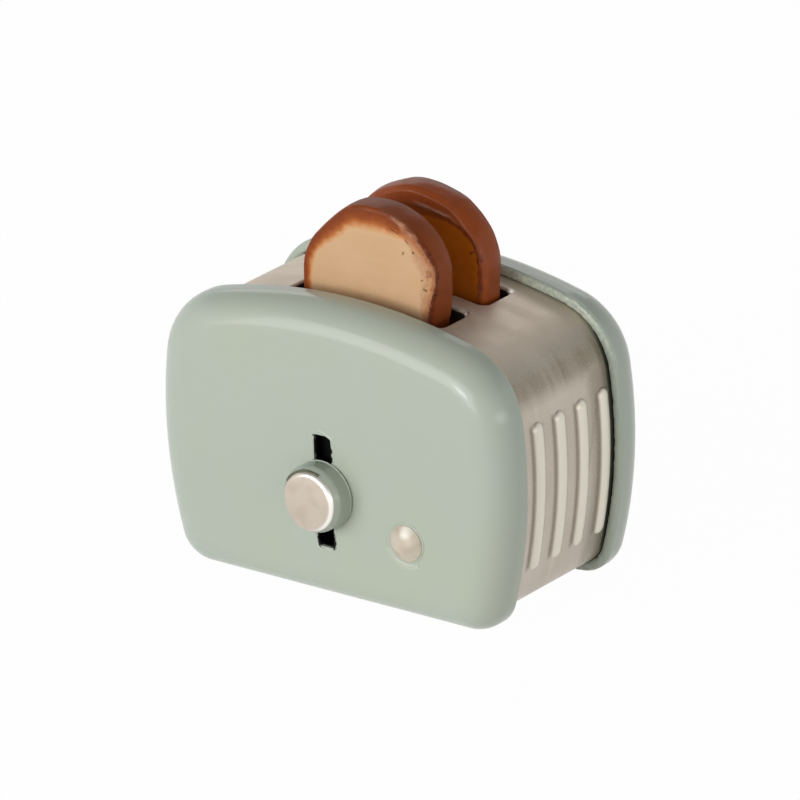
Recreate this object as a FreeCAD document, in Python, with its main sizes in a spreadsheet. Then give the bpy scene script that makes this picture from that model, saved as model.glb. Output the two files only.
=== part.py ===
import FreeCAD, Part

import math
import os

import Sketcher

# Toy toaster for a dolls' house kitchen, in millimetres.
#
# Two die-cast panels with rounded edges clamp a ribbed sheet-metal casing between them. A knob in
# the front panel's slot carries a sheet-metal lift with two bread trays, which runs on a bent guide
# wire, and a slice of bread stands in each tray.
#
# Frame: +X to the right as seen from the knob's side, +Y from that side to the back, +Z up. The
# origin is on the surface that the toaster stands on, in the middle of its depth, knob included.

SIZES = [
    # The panels' outline, a chain of tangent arcs on a flat foot
    ("PanelWidth", 54.0, "width over the two bulging sides"),
    ("PanelHeight", 39.1, "height at the crown"),
    ("CrownRadius", 76.0, "arc across the top"),
    ("ShoulderRadius", 10.1, "top corners"),
    ("SideRadius", 60.9, "bulge of each side"),
    ("FootRadius", 5.0, "bottom corners"),
    ("FootInset", 7.0, "centre of a bottom corner in from the widest point of its side"),
    # The panels as shells
    ("Depth", 31.3, "from the front panel's face to the rear panel's"),
    ("RimDepth", 5.7, "from a panel's face to the edge of its rim"),
    ("EdgeRound", 4.4, "rounding between face and rim"),
    ("LipRound", 0.3, "rounding of the rim's edge"),
    ("PanelWall", 0.8, "wall of the casting"),
    # The screws that draw the panels together
    ("TieHeight", 20.0, "above the table"),
    ("PostRadius", 2.0, "posts cast on the panels"),
    ("PostGap", 0.9, "between a post and the lift"),
    ("FrontPostLength", 18.0, "from the front face to the end of its posts"),
    ("TieRadius", 0.8, "screw's shank"),
    ("TieHeadRadius", 1.6, "countersunk head"),
    ("TieHeadHeight", 0.8, "depth of the countersunk head"),
    ("TieGrip", 5.0, "thread held in the front post"),
    ("RecessWidth", 0.35, "arms of the cross recess"),
    ("RecessSpan", 1.9, "across the cross recess"),
    ("RecessDepth", 0.5, "depth of the cross recess"),
    # The casing
    ("CasingInset", 1.4, "casing inside the panels' outline"),
    ("CasingWall", 0.5, "sheet"),
    ("FlangeLap", 3.9, "casing's bottom flanges over the ends of the base plate"),
    ("RibCount", 4, "ribs pressed into each side"),
    ("RibPitch", 4.57, "from rib to rib"),
    ("RibShift", 1.2, "middle of the ribs behind the middle of the casing"),
    ("RibWidth", 2.3, "across a rib at the sheet"),
    ("RibRise", 0.5, "rib proud of the sheet"),
    ("RibBottom", 6.7, "lower end of the ribs"),
    ("RibTop", 26.3, "upper end of the ribs"),
    ("SlotPitch", 9.1, "between the middles of the bread slots"),
    ("SlotSetback", 5.25, "middle of the front slot behind the front panel's rim"),
    ("SlotX", 0.45, "middle of the slots to the right of the middle"),
    ("SlotPlay", 3.3, "bread slot longer than a slice"),
    ("SlotGap", 1.05, "half of the slot's width to spare round a slice"),
    ("RowLead", 0.5, "slices and trays ahead of the middle of their slots"),
    ("SlotCorner", 1.2, "corners of a bread slot"),
    ("SlotRoll", 0.4, "rolled edge of a bread slot"),
    ("FlangeDrop", 2.2, "turned-down flange of a slot, below the crown"),
    # The base and the guide wire
    ("BaseMargin", 0.6, "ends of the base plate short of the flat foot's ends"),
    ("BaseCorner", 2.0, "corners of the base plate"),
    ("WireRadius", 0.8, "guide wire"),
    ("WireDrop", 2.8, "centreline of the wire's crossbar below the casing's crown"),
    ("WireBend", 2.4, "bend of the wire's centreline"),
    # The lever
    ("LeverX", -0.25, "slot and knob to the side of the middle"),
    ("LeverHeight", 14.7, "knob's middle as the toaster is kept"),
    ("LeverSlotWidth", 2.7, "slot in the front panel"),
    ("LeverSlotBottom", 7.6, "lower end of the slot"),
    ("LeverSlotTop", 22.4, "upper end of the slot"),
    ("LeverSlotCorner", 0.45, "corners of the slot"),
    ("KnobReach", 3.6, "knob proud of the front face"),
    ("KnobRadius", 4.4, "skirt at the panel"),
    ("KnobTaper", 0.5, "skirt narrower at its front edge"),
    ("KnobSkirt", 2.85, "depth of the skirt"),
    ("KnobBarrel", 2.15, "straight part of the skirt"),
    ("KnobCurve", 0.8, "rounding of the skirt's side"),
    ("CapRim", 0.12, "knob's rim round its silver cap"),
    ("CapSeat", 2.4, "depth of the cap's seat from the knob's back"),
    ("CapEdge", 0.8, "height of the cap's side"),
    ("CapRound", 0.6, "rounding of the cap's edge"),
    ("StemRadius", 1.15, "pin through the slot"),
    ("StemSocket", 1.9, "pin's depth in the knob"),
    ("TenonRadius", 0.8, "pin's end in the lift"),
    ("StemHeadRadius", 1.4, "riveted end of the pin"),
    ("StemHeadHeight", 0.5, "riveted end of the pin"),
    ("WasherRadius", 3.3, "slide washer and spring washer"),
    ("WasherThickness", 0.5, "slide washer"),
    ("SpringHeight", 0.6, "dished spring washer"),
    ("SpringSheet", 0.25, "dished spring washer"),
    # The lift and its trays
    ("LiftSheet", 0.6, "sheet of the lift"),
    ("LiftBend", 0.5, "inside radius of the lift's bends"),
    ("ShelfHeight", 26.0, "top of the shelf"),
    ("EarHeight", 9.5, "underside of the lower ears"),
    ("EarReach", 1.8, "ears behind the guide wire"),
    ("EarHalf", 2.0, "lift's reach to each side of a leg of the wire"),
    ("WindowHalf", 3.6, "half of the width of a window in the lift"),
    ("WindowX", 8.2, "middle of each window"),
    ("WindowHeight", 8.4, "height of a window"),
    ("WindowBase", 13.2, "lower edge of a window"),
    ("WindowCorner", 0.6, "corners of a window"),
    ("BushRadius", 1.2, "guide bush"),
    ("BushFlange", 1.6, "flange of the bush"),
    ("BushFlangeHeight", 0.4, "flange of the bush"),
    ("BushLength", 1.5, "bush below its flange"),
    ("BushGap", 0.9, "between a bush and the ends of the trays"),
    ("TrayShort", 0.3, "ends of a bread tray short of its slot's ends"),
    ("TrayWall", 0.4, "sheet of a bread tray"),
    ("TrayHeight", 2.4, "sides of a bread tray"),
    ("TrayBend", 0.3, "inside radius of the tray's bends"),
    ("TrayRivetX", 8.0, "each rivet of a tray from the middle"),
    ("RivetRadius", 0.5, "tray rivet"),
    ("RivetHeadRadius", 1.1, "tray rivet's head"),
    ("RivetHeadHeight", 0.5, "tray rivet's head"),
    # The dial
    ("DialX", 12.4, "dial to the right of the middle"),
    ("DialHeight", 10.9, "dial above the table"),
    ("DialRadius", 2.35, "domed face"),
    ("DialRise", 1.2, "domed face proud of the panel"),
    ("DialEdge", 0.25, "height of the dome's edge"),
    ("DialShankRadius", 1.0, "shank through the panel"),
    ("NutRadius", 2.0, "push nut behind the panel"),
    ("NutThickness", 0.45, "push nut behind the panel"),
    ("NutTail", 0.3, "shank beyond the push nut"),
    # The bread
    ("BreadWidth", 20.7, "slice, left to right"),
    ("BreadHeight", 23.8, "slice, crust to crust"),
    ("BreadThickness", 4.0, "slice, front to back"),
    ("BreadShoulder", 7.2, "radius of the slice's shoulders"),
    ("BreadCrown", 8.3, "from the shoulders' centres up to the top crust"),
    ("BreadHeel", 1.5, "radius of the slice's lower corners"),
    ("BreadRound", 0.7, "rounding of the slice's edges"),
    ("FrontBreadX", 1.1, "front slice to the right of the middle"),
    ("RearBreadX", 1.8, "rear slice to the right of the middle"),
    # Clearances
    ("Fit", 0.03, "between pieces that are pressed or clamped together"),
    ("RunFit", 0.05, "between bush and wire, on the radius"),
    ("FreeGap", 0.12, "between pieces that slide past each other"),
    ("TrayGap", 0.3, "between bread and the sides of its tray"),
    ("WireStandoff", 0.15, "between the guide wire and the front slot's flange"),
]

doc = FreeCAD.newDocument("toy_toaster")
sheet = doc.addObject("Spreadsheet::Sheet", "Sizes")
for row, (alias, number, note) in enumerate(SIZES, start=1):
    sheet.set(f"A{row}", alias)
    sheet.set(f"B{row}", str(number))
    sheet.set(f"C{row}", note)
    sheet.setAlias(f"B{row}", alias)
doc.recompute()

# Places and lengths that follow from the sizes, as expressions on the sheet
S = "Sizes."
FRONT_FACE = f"(-({S}Depth - {S}KnobReach) / 2)"
REAR_FACE = f"(({S}Depth + {S}KnobReach) / 2)"
MIDDLE_Y = f"({S}KnobReach / 2)"
FRONT_INNER = f"({FRONT_FACE} + {S}PanelWall)"
INNER_ROUND = f"({S}EdgeRound - {S}PanelWall)"

# The centres of the right bottom corner and of the right side's arc
FOOT_X = f"({S}PanelWidth / 2 - {S}FootInset)"
SIDE_X = f"({S}PanelWidth / 2 - {S}SideRadius)"
SIDE_Z = (
    f"({S}FootRadius + sqrt(({S}SideRadius - {S}FootRadius)^2 - ({FOOT_X} - {SIDE_X})^2))"
)

# The casing's edges seat on the rounding inside the panels, this far behind their faces
CASING_END = (
    f"({S}EdgeRound - sqrt({INNER_ROUND}^2 - ({S}EdgeRound - {S}CasingInset)^2) + {S}Fit)"
)
CASING_FRONT = f"({FRONT_FACE} + {CASING_END})"
CASING_LENGTH = f"({S}Depth - 2 * {CASING_END})"
CASING_TOP = f"({S}PanelHeight - {S}CasingInset)"

# The radius of the round bar of which a rib is the part that stands proud of the sheet
RIB_BAR = f"(({S}RibWidth^2 / 4 + {S}RibRise^2) / (2 * {S}RibRise))"

# The slots are cut for the slices, and the rows below follow from them
SLOT_LENGTH = f"({S}BreadWidth + {S}SlotPlay)"
SLOT_WIDTH = f"({S}BreadThickness + 2 * {S}SlotGap)"
FRONT_SLOT_Y = f"({FRONT_FACE} + {S}RimDepth + {S}SlotSetback)"
REAR_SLOT_Y = f"({FRONT_SLOT_Y} + {S}SlotPitch)"
FRONT_ROW_Y = f"({FRONT_SLOT_Y} - {S}RowLead)"
REAR_ROW_Y = f"({REAR_SLOT_Y} - {S}RowLead)"

# Half lengths, from the trays outwards: tray, leg of the guide wire, lift, post
TRAY_HALF = f"({SLOT_LENGTH} / 2 - {S}TrayShort)"
WIRE_HALF = f"({TRAY_HALF} + {S}BushGap + {S}BushFlange)"
LIFT_HALF = f"({WIRE_HALF} + {S}EarHalf)"
TIE_X = f"({LIFT_HALF} + {S}PostGap + {S}PostRadius)"

BASE_HALF = f"({FOOT_X} - {S}BaseMargin)"
CASING_GAP = f"({BASE_HALF} - {S}FlangeLap)"

CAP_RADIUS = f"({S}KnobRadius - {S}KnobTaper - {S}CapRim)"

# The stack on the lever's pin, from the knob's back to the lift
KNOB_BACK = f"({FRONT_FACE} - {S}FreeGap)"
WASHER_Y = f"({FRONT_INNER} + {S}FreeGap)"
SPRING_Y = f"({WASHER_Y} + {S}WasherThickness)"
LIFT_Y = f"({SPRING_Y} + {S}SpringHeight)"

# The guide wire passes close in front of the front slot's flange and stands in the base plate
WIRE_Y = (
    f"({FRONT_SLOT_Y} - {SLOT_WIDTH} / 2 - {S}CasingWall - {S}WireStandoff - {S}WireRadius)"
)
WIRE_FOOT = f"({S}PanelWall + 2 * {S}Fit)"
WIRE_TOP = f"({CASING_TOP} - {S}WireDrop)"

TRAY_DEPTH = f"({S}BreadThickness + 2 * {S}TrayGap + 2 * {S}TrayWall)"
LIFT_BACK = f"({REAR_ROW_Y} + {TRAY_DEPTH} / 2)"
BREAD_BASE = f"({S}ShelfHeight + {S}TrayWall + {S}Fit)"

VERTICAL = FreeCAD.Rotation()
ALONG_Y = FreeCAD.Rotation(FreeCAD.Vector(1, 0, 0), -90)
HALF_TURN = FreeCAD.Rotation(FreeCAD.Vector(0, 0, 1), 180)

# Sketcher's numbers for the origin, the two axes and the points of a piece of geometry
ORIGIN = (-1, 1)
HORIZONTAL_AXIS = -1
VERTICAL_AXIS = -2
START, END, CENTRE = 1, 2, 3

NEAR = 1e-4


# ---------------------------------------------------------------- helpers


def value(expression):
    """The number that an expression on the sheet comes to."""
    return float(sheet.evalExpression(str(expression)))


def bind(thing, **expressions):
    """Tie properties of an object to expressions on the sheet."""
    for name, expression in expressions.items():
        thing.setExpression(name, str(expression))
    return thing


def place(thing, x="0", y="0", z="0", rotation=VERTICAL):
    """Turn an object and tie its place to expressions on the sheet."""
    base = FreeCAD.Vector(value(x), value(y), value(z))
    thing.Placement = FreeCAD.Placement(base, rotation)
    for axis, expression in (("x", x), ("y", y), ("z", z)):
        thing.setExpression(f"Placement.Base.{axis}", str(expression))
    return thing


def new_body(name):
    """An empty body whose label is the sub-part's name."""
    body = doc.addObject("PartDesign::Body", name)
    body.Label = name
    return body


def origin_feature(body, role):
    """One of the planes or axes of a body's own origin."""
    return next(item for item in body.Origin.OriginFeatures if item.Role == role)


def new_sketch(body, name, plane, offset="0"):
    """A sketch on one of the body's origin planes, or parallel to it at an offset."""
    sketch = body.newObject("Sketcher::SketchObject", name)
    sketch.AttachmentSupport = [(origin_feature(body, plane), "")]
    sketch.MapMode = "FlatFace"
    sketch.setExpression("AttachmentOffset.Base.z", str(offset))
    sketch.AttachmentOffset = FreeCAD.Placement(
        FreeCAD.Vector(0, 0, value(offset)), FreeCAD.Rotation()
    )
    return sketch


def hold(sketch, kind, first, second, expression):
    """Hold the distance from one sketch point to another, taken the way in which it is positive."""
    distance = value(expression)
    if distance < 0:
        first, second, expression = second, first, f"-({expression})"
    constraint = Sketcher.Constraint(kind, *first, *second, abs(distance))
    index = sketch.addConstraint(constraint)
    sketch.setExpression(f"Constraints[{index}]", expression)


def hold_point(sketch, point, x, y):
    """Hold a sketch point at a place given by two expressions."""
    for kind, axis, expression in (
        ("DistanceX", VERTICAL_AXIS, x),
        ("DistanceY", HORIZONTAL_AXIS, y),
    ):
        if abs(value(expression)) < NEAR:
            sketch.addConstraint(Sketcher.Constraint("PointOnObject", *point, axis))
        else:
            hold(sketch, kind, ORIGIN, point, expression)


def hold_radius(sketch, curve, expression):
    """Hold the radius of an arc or circle."""
    index = sketch.addConstraint(Sketcher.Constraint("Radius", curve, value(expression)))
    sketch.setExpression(f"Constraints[{index}]", expression)


def draw_profile(sketch, corners):
    """Draw a closed outline through corners, each an (x, y) pair of expressions.

    A third item "dome" makes the edge to the next corner an arc centred on the vertical axis.
    """
    points = [FreeCAD.Vector(value(corner[0]), value(corner[1]), 0) for corner in corners]
    base = sketch.GeometryCount
    for index, corner in enumerate(corners):
        start, end = points[index], points[(index + 1) % len(points)]
        if corner[2:] == ("dome",):
            centre_y = (end.dot(end) - start.dot(start)) / (2 * (end.y - start.y))
            middle = arc_middle(start, end, FreeCAD.Vector(0, centre_y, 0))
            sketch.addGeometry(Part.Arc(start, middle, end), False)
        else:
            sketch.addGeometry(Part.LineSegment(start, end), False)
    for index, corner in enumerate(corners):
        following = (index + 1) % len(corners)
        curve, next_curve = base + index, base + following
        if corner[2:] == ("dome",):
            axis_point = Sketcher.Constraint("PointOnObject", curve, CENTRE, VERTICAL_AXIS)
            sketch.addConstraint(axis_point)
        join = Sketcher.Constraint(
            "Coincident",
            *curve_end(sketch, curve, points[following]),
            *curve_end(sketch, next_curve, points[following]),
        )
        sketch.addConstraint(join)
        hold_point(sketch, curve_end(sketch, curve, points[index]), corner[0], corner[1])


def draw_rectangle(sketch, x1, x2, y1, y2):
    """Draw a plain rectangle between two sides and two ends."""
    draw_profile(sketch, [(x1, y1), (x2, y1), (x2, y2), (x1, y2)])


def draw_circles(sketch, radius, centres):
    """Draw circles of one radius about several centres."""
    for index, (x, y) in enumerate(centres):
        centre = FreeCAD.Vector(value(x), value(y), 0)
        sketch.addGeometry(Part.Circle(centre, FreeCAD.Vector(0, 0, 1), value(radius)), False)
        hold_point(sketch, (index, CENTRE), x, y)
        hold_radius(sketch, index, radius)


def arc_middle(start, end, centre):
    """The middle of the shorter arc from start to end about a centre."""
    towards = (start + end) * 0.5 - centre
    return centre + towards.normalize() * (start - centre).Length


def curve_end(sketch, curve, point):
    """The end of a curve that lies at a point, because an arc may run either way."""
    at_start = sketch.getPoint(curve, START).distanceToPoint(point) < NEAR
    return (curve, START if at_start else END)


def pad(body, sketch, length, reverse=False, midplane=False):
    """Pad a sketch by a length."""
    feature = body.newObject("PartDesign::Pad", sketch.Name + "_pad")
    feature.Profile = sketch
    feature.Reversed = reverse
    feature.Midplane = midplane
    bind(feature, Length=length)
    doc.recompute()
    return feature


def pocket(body, sketch, length):
    """Cut a sketch into the body by a length, and make sure that it cut something."""
    before = body.Shape.Volume
    feature = body.newObject("PartDesign::Pocket", sketch.Name + "_pocket")
    feature.Profile = sketch
    bind(feature, Length=length)
    doc.recompute()
    if not body.Shape.Volume < before - NEAR:
        raise RuntimeError(f"{feature.Name} cuts nothing")
    return feature


def edges_where(shape, test):
    """The names of a shape's edges that pass a test."""
    return [f"Edge{index}" for index, edge in enumerate(shape.Edges, 1) if test(edge)]


def in_plane(edge, axis, position):
    """Whether an edge lies in the plane where an axis has a position."""
    extent = edge.BoundBox
    low, high = getattr(extent, axis + "Min"), getattr(extent, axis + "Max")
    return abs(low - position) < NEAR and abs(high - position) < NEAR


def along_x(y, z):
    """A test for the edge parallel to X at a corner of a side view."""
    depth, height = value(y), value(z)
    return lambda edge: in_plane(edge, "Y", depth) and in_plane(edge, "Z", height)


def round_edges(body, radius, test):
    """Round the edges of a body's tip that pass a test."""
    base = body.Tip
    feature = body.newObject("PartDesign::Fillet", f"{body.Name}_{base.Name}_round")
    feature.Base = (base, edges_where(base.Shape, test))
    bind(feature, Radius=radius)
    doc.recompute()
    return feature


def turned(name, corners, plane="XY_Plane"):
    """A body turned about its Y axis, or about Z when its profile is drawn on the XZ plane."""
    body = new_body(name)
    sketch = new_sketch(body, name + "_profile", plane)
    draw_profile(sketch, corners)
    feature = body.newObject("PartDesign::Revolution", name + "_turn")
    feature.Profile = sketch
    feature.ReferenceAxis = (sketch, ["V_Axis"])
    feature.Angle = 360
    doc.recompute()
    return body


def cylinder(name, radius, length, rotation=VERTICAL, **where):
    """A plain cylinder, along Z or turned."""
    thing = doc.addObject("Part::Cylinder", name)
    bind(thing, Radius=radius, Height=length)
    return place(thing, rotation=rotation, **where)


def box(name, length, width, height, **where):
    """A plain box with its lowest corner at a place."""
    thing = doc.addObject("Part::Box", name)
    bind(thing, Length=length, Width=width, Height=height)
    return place(thing, **where)


def fuse(name, things):
    """Several objects as one solid."""
    thing = doc.addObject("Part::MultiFuse", name)
    thing.Shapes = things
    thing.Label = name
    doc.recompute()
    return thing


def cut(name, base, tool):
    """One object less another."""
    thing = doc.addObject("Part::Cut", name)
    thing.Base = base
    thing.Tool = tool
    thing.Label = name
    doc.recompute()
    return thing


def group(name, things):
    """Separate solids that share one node."""
    thing = doc.addObject("Part::Compound", name)
    thing.Links = things
    thing.Label = name
    doc.recompute()
    return thing


def draw_rounded_rectangle(sketch, half_x, half_y, corner, x="0", y="0"):
    """Draw a rectangle with rounded corners about a centre."""
    centre_x, centre_y, radius = value(x), value(y), value(corner)
    reach_x, reach_y = value(half_x) - radius, value(half_y) - radius
    turns = ((1, 1), (-1, 1), (-1, -1), (1, -1))
    first = sketch.GeometryCount
    for quarter, (sign_x, sign_y) in enumerate(turns):
        centre = FreeCAD.Vector(centre_x + sign_x * reach_x, centre_y + sign_y * reach_y, 0)
        circle = Part.Circle(centre, FreeCAD.Vector(0, 0, 1), radius)
        start = quarter * math.pi / 2
        sketch.addGeometry(Part.ArcOfCircle(circle, start, start + math.pi / 2), False)
    for quarter in range(len(turns)):
        start = sketch.getPoint(first + quarter, END)
        end = sketch.getPoint(first + (quarter + 1) % len(turns), START)
        sketch.addGeometry(Part.LineSegment(start, end), False)
    for quarter, (sign_x, sign_y) in enumerate(turns):
        arc, side = first + quarter, first + len(turns) + quarter
        following = first + (quarter + 1) % len(turns)
        sketch.addConstraint(Sketcher.Constraint("Tangent", arc, END, side, START))
        sketch.addConstraint(Sketcher.Constraint("Tangent", side, END, following, START))
        hold_point(
            sketch,
            (arc, CENTRE),
            f"({x}) + {sign_x} * (({half_x}) - ({corner}))",
            f"({y}) + {sign_y} * (({half_y}) - ({corner}))",
        )
    hold_radius(sketch, first, corner)


def rounded_block(name, half_x, half_y, corner, height, plane="XY_Plane", reverse=False):
    """A block with rounded corners, padded from one of its own planes."""
    body = new_body(name)
    sketch = new_sketch(body, name + "_outline", plane)
    draw_rounded_rectangle(sketch, half_x, half_y, corner)
    pad(body, sketch, height, reverse=reverse)
    return body


# ---------------------------------------------------------------- the toaster's outline


def circle_crossing(first, first_radius, second, second_radius):
    """The point to the right where two circles cross."""
    between = second - first
    gap = between.Length
    along = (first_radius**2 - second_radius**2 + gap**2) / (2 * gap)
    across = math.sqrt(first_radius**2 - along**2)
    base = first + between * (along / gap)
    normal = FreeCAD.Vector(-between.y, between.x, 0) / gap
    return max(base + normal * across, base - normal * across, key=lambda point: point.x)


def draw_outline(sketch, inset):
    """Draw the toaster's outline, moved inwards by an inset, on a sketch of the XZ plane.

    Going round from the foot: foot, corner, side, shoulder, crown, shoulder, side, corner. Each
    joins the next on a tangent, so an inset shortens every radius and keeps every centre.
    """
    inner = value(inset)
    side_radius, crown_radius = value(S + "SideRadius"), value(S + "CrownRadius")
    foot_radius, shoulder_radius = value(S + "FootRadius"), value(S + "ShoulderRadius")
    side = FreeCAD.Vector(value(SIDE_X), value(SIDE_Z), 0)
    crown = FreeCAD.Vector(0, value(S + "PanelHeight") - crown_radius, 0)
    foot = FreeCAD.Vector(value(FOOT_X), foot_radius, 0)
    shoulder = circle_crossing(
        side, side_radius - shoulder_radius, crown, crown_radius - shoulder_radius
    )

    def on_arc(centre, radius, towards):
        """The point of an arc that lies in a direction from its centre."""
        return centre + (towards / towards.Length) * (radius - inner)

    right = [
        (foot, foot_radius, FreeCAD.Vector(0, -1, 0), foot - side),
        (side, side_radius, foot - side, shoulder - side),
        (shoulder, shoulder_radius, shoulder - side, shoulder - crown),
    ]
    arcs = right + [(crown, crown_radius, shoulder - crown, mirrored(shoulder - crown))]
    arcs += [
        (mirrored(centre), radius, mirrored(end), mirrored(start))
        for centre, radius, start, end in reversed(right)
    ]

    foot_right = on_arc(foot, foot_radius, FreeCAD.Vector(0, -1, 0))
    sketch.addGeometry(Part.LineSegment(mirrored(foot_right), foot_right), False)
    for centre, radius, start, end in arcs:
        circle = Part.Circle(centre, FreeCAD.Vector(0, 0, 1), radius - inner)
        first, last = (math.atan2(way.y, way.x) % (2 * math.pi) for way in (start, end))
        if last < first:
            last += 2 * math.pi
        sketch.addGeometry(Part.ArcOfCircle(circle, first, last), False)

    count = len(arcs) + 1
    for curve in range(count):
        join = Sketcher.Constraint("Tangent", curve, END, (curve + 1) % count, START)
        sketch.addConstraint(join)
    for curve, name in ((1, "Foot"), (2, "Side"), (3, "Shoulder"), (4, "Crown")):
        hold_radius(sketch, curve, f"{S}{name}Radius - ({inset})")
    for curve in (1, 2, 3):
        sketch.addConstraint(Sketcher.Constraint("Equal", curve, count - curve))
    sketch.addConstraint(Sketcher.Constraint("Horizontal", 0))
    hold_point(sketch, (4, CENTRE), "0", f"{S}PanelHeight - {S}CrownRadius")
    if inner < NEAR:
        sketch.addConstraint(Sketcher.Constraint("PointOnObject", 0, START, HORIZONTAL_AXIS))
    else:
        hold(sketch, "DistanceY", ORIGIN, (0, START), inset)
    for curve, half in ((1, FOOT_X), (2, SIDE_X)):
        hold(sketch, "DistanceX", ORIGIN, (curve, CENTRE), half)
        hold(sketch, "DistanceX", ORIGIN, (count - curve, CENTRE), f"-({half})")


def mirrored(point):
    """A sketch point on the other side of the vertical axis."""
    return FreeCAD.Vector(-point.x, point.y, 0)


def outline_body(name, inset, depth):
    """The outline as a solid, from the plane y = 0 backwards."""
    body = new_body(name)
    sketch = new_sketch(body, name + "_outline", "XZ_Plane")
    draw_outline(sketch, inset)
    pad(body, sketch, depth, reverse=True)
    return body


# ---------------------------------------------------------------- panels


def panel_shell(name):
    """A cast panel as a dished shell: face at y = 0, rounded edge, rim towards +Y."""
    outside = outline_body(name + "_outside", "0", f"{S}RimDepth")
    round_edges(outside, f"{S}EdgeRound", lambda edge: in_plane(edge, "Y", 0))
    rim = value(f"{S}RimDepth")
    round_edges(outside, f"{S}LipRound", lambda edge: in_plane(edge, "Y", rim))
    inside = outline_body(name + "_inside", f"{S}PanelWall", f"{S}RimDepth")
    round_edges(inside, INNER_ROUND, lambda edge: in_plane(edge, "Y", 0))
    place(inside, y=f"{S}PanelWall")
    return cut(name + "_shell", outside, inside)


def posts(name, length):
    """The two posts cast on the inside of a panel, for the tie screws."""
    start = f"{S}PanelWall / 2"
    return [
        cylinder(
            f"{name}_{side}_post",
            f"{S}PostRadius",
            f"({length}) - {start}",
            rotation=ALONG_Y,
            x=f"{sign} * {TIE_X}",
            y=start,
            z=f"{S}TieHeight",
        )
        for side, sign in (("left", -1), ("right", 1))
    ]


def front_panel():
    """The front panel, with the lever's slot, the dial's hole and threaded posts."""
    shell = panel_shell("front_panel")
    solid = fuse("front_panel_solid", [shell] + posts("front_panel", f"{S}FrontPostLength"))
    slot = rounded_block(
        "lever_slot",
        f"{S}LeverSlotWidth / 2",
        f"({S}LeverSlotTop - {S}LeverSlotBottom) / 2",
        f"{S}LeverSlotCorner",
        f"3 * {S}PanelWall",
        plane="XZ_Plane",
        reverse=True,
    )
    place(
        slot,
        x=f"{S}LeverX",
        y=f"-{S}PanelWall",
        z=f"({S}LeverSlotTop + {S}LeverSlotBottom) / 2",
    )
    dial_hole = cylinder(
        "dial_hole",
        f"{S}DialShankRadius + {S}Fit",
        f"3 * {S}PanelWall",
        rotation=ALONG_Y,
        x=f"{S}DialX",
        y=f"-{S}PanelWall",
        z=f"{S}DialHeight",
    )
    threads = [
        cylinder(
            f"{side}_thread",
            f"{S}TieRadius + {S}Fit",
            f"{S}TieGrip + 2 * {S}TieRadius",
            rotation=ALONG_Y,
            x=f"{sign} * {TIE_X}",
            y=f"{S}FrontPostLength - {S}TieGrip - {S}TieRadius",
            z=f"{S}TieHeight",
        )
        for side, sign in (("left", -1), ("right", 1))
    ]
    holes = fuse("front_panel_holes", [slot, dial_hole] + threads)
    return place(cut("front_panel", solid, holes), y=FRONT_FACE)


def rear_panel():
    """The rear panel, with posts that meet the front ones and countersunk holes."""
    shell = panel_shell("rear_panel")
    post_length = f"{S}Depth - {S}FrontPostLength - {S}Fit"
    solid = fuse("rear_panel_solid", [shell] + posts("rear_panel", post_length))
    clear = f"({S}TieRadius + {S}Fit)"
    holes = []
    for side, sign in (("left", -1), ("right", 1)):
        hole = turned(
            f"{side}_tie_hole",
            [
                ("0", "0"),
                (f"{S}TieHeadRadius + {S}Fit", "0"),
                (clear, f"{S}TieHeadHeight"),
                (clear, f"{S}Depth"),
                ("0", f"{S}Depth"),
            ],
        )
        holes.append(place(hole, x=f"{sign} * {TIE_X}", z=f"{S}TieHeight"))
    panel = cut("rear_panel", solid, fuse("rear_panel_holes", holes))
    return place(panel, y=REAR_FACE, rotation=HALF_TURN)


def tie_screws():
    """Two countersunk screws that draw the rear panel against the front panel's posts."""
    length = f"({S}Depth - {S}FrontPostLength + {S}TieGrip)"
    screws = []
    for side, sign in (("left", -1), ("right", 1)):
        blank = turned(
            f"{side}_screw_blank",
            [
                ("0", "0"),
                (f"{S}TieHeadRadius", "0"),
                (f"{S}TieRadius", f"{S}TieHeadHeight"),
                (f"{S}TieRadius", f"{length} - {S}TieRadius / 2"),
                (f"{S}TieRadius / 2", length),
                ("0", length),
            ],
        )
        arms = [
            box(
                f"{side}_recess_{way}",
                across,
                f"2 * {S}RecessDepth",
                upright,
                x=f"-({across}) / 2",
                y=f"-{S}RecessDepth",
                z=f"-({upright}) / 2",
            )
            for way, across, upright in (
                ("flat", f"{S}RecessSpan", f"{S}RecessWidth"),
                ("upright", f"{S}RecessWidth", f"{S}RecessSpan"),
            )
        ]
        screw = cut(f"{side}_tie_screw", blank, fuse(f"{side}_recess", arms))
        screws.append(
            place(
                screw,
                x=f"{sign} * {TIE_X}",
                y=REAR_FACE,
                z=f"{S}TieHeight",
                rotation=HALF_TURN,
            )
        )
    return group("tie_screws", screws)


# ---------------------------------------------------------------- casing


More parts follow.
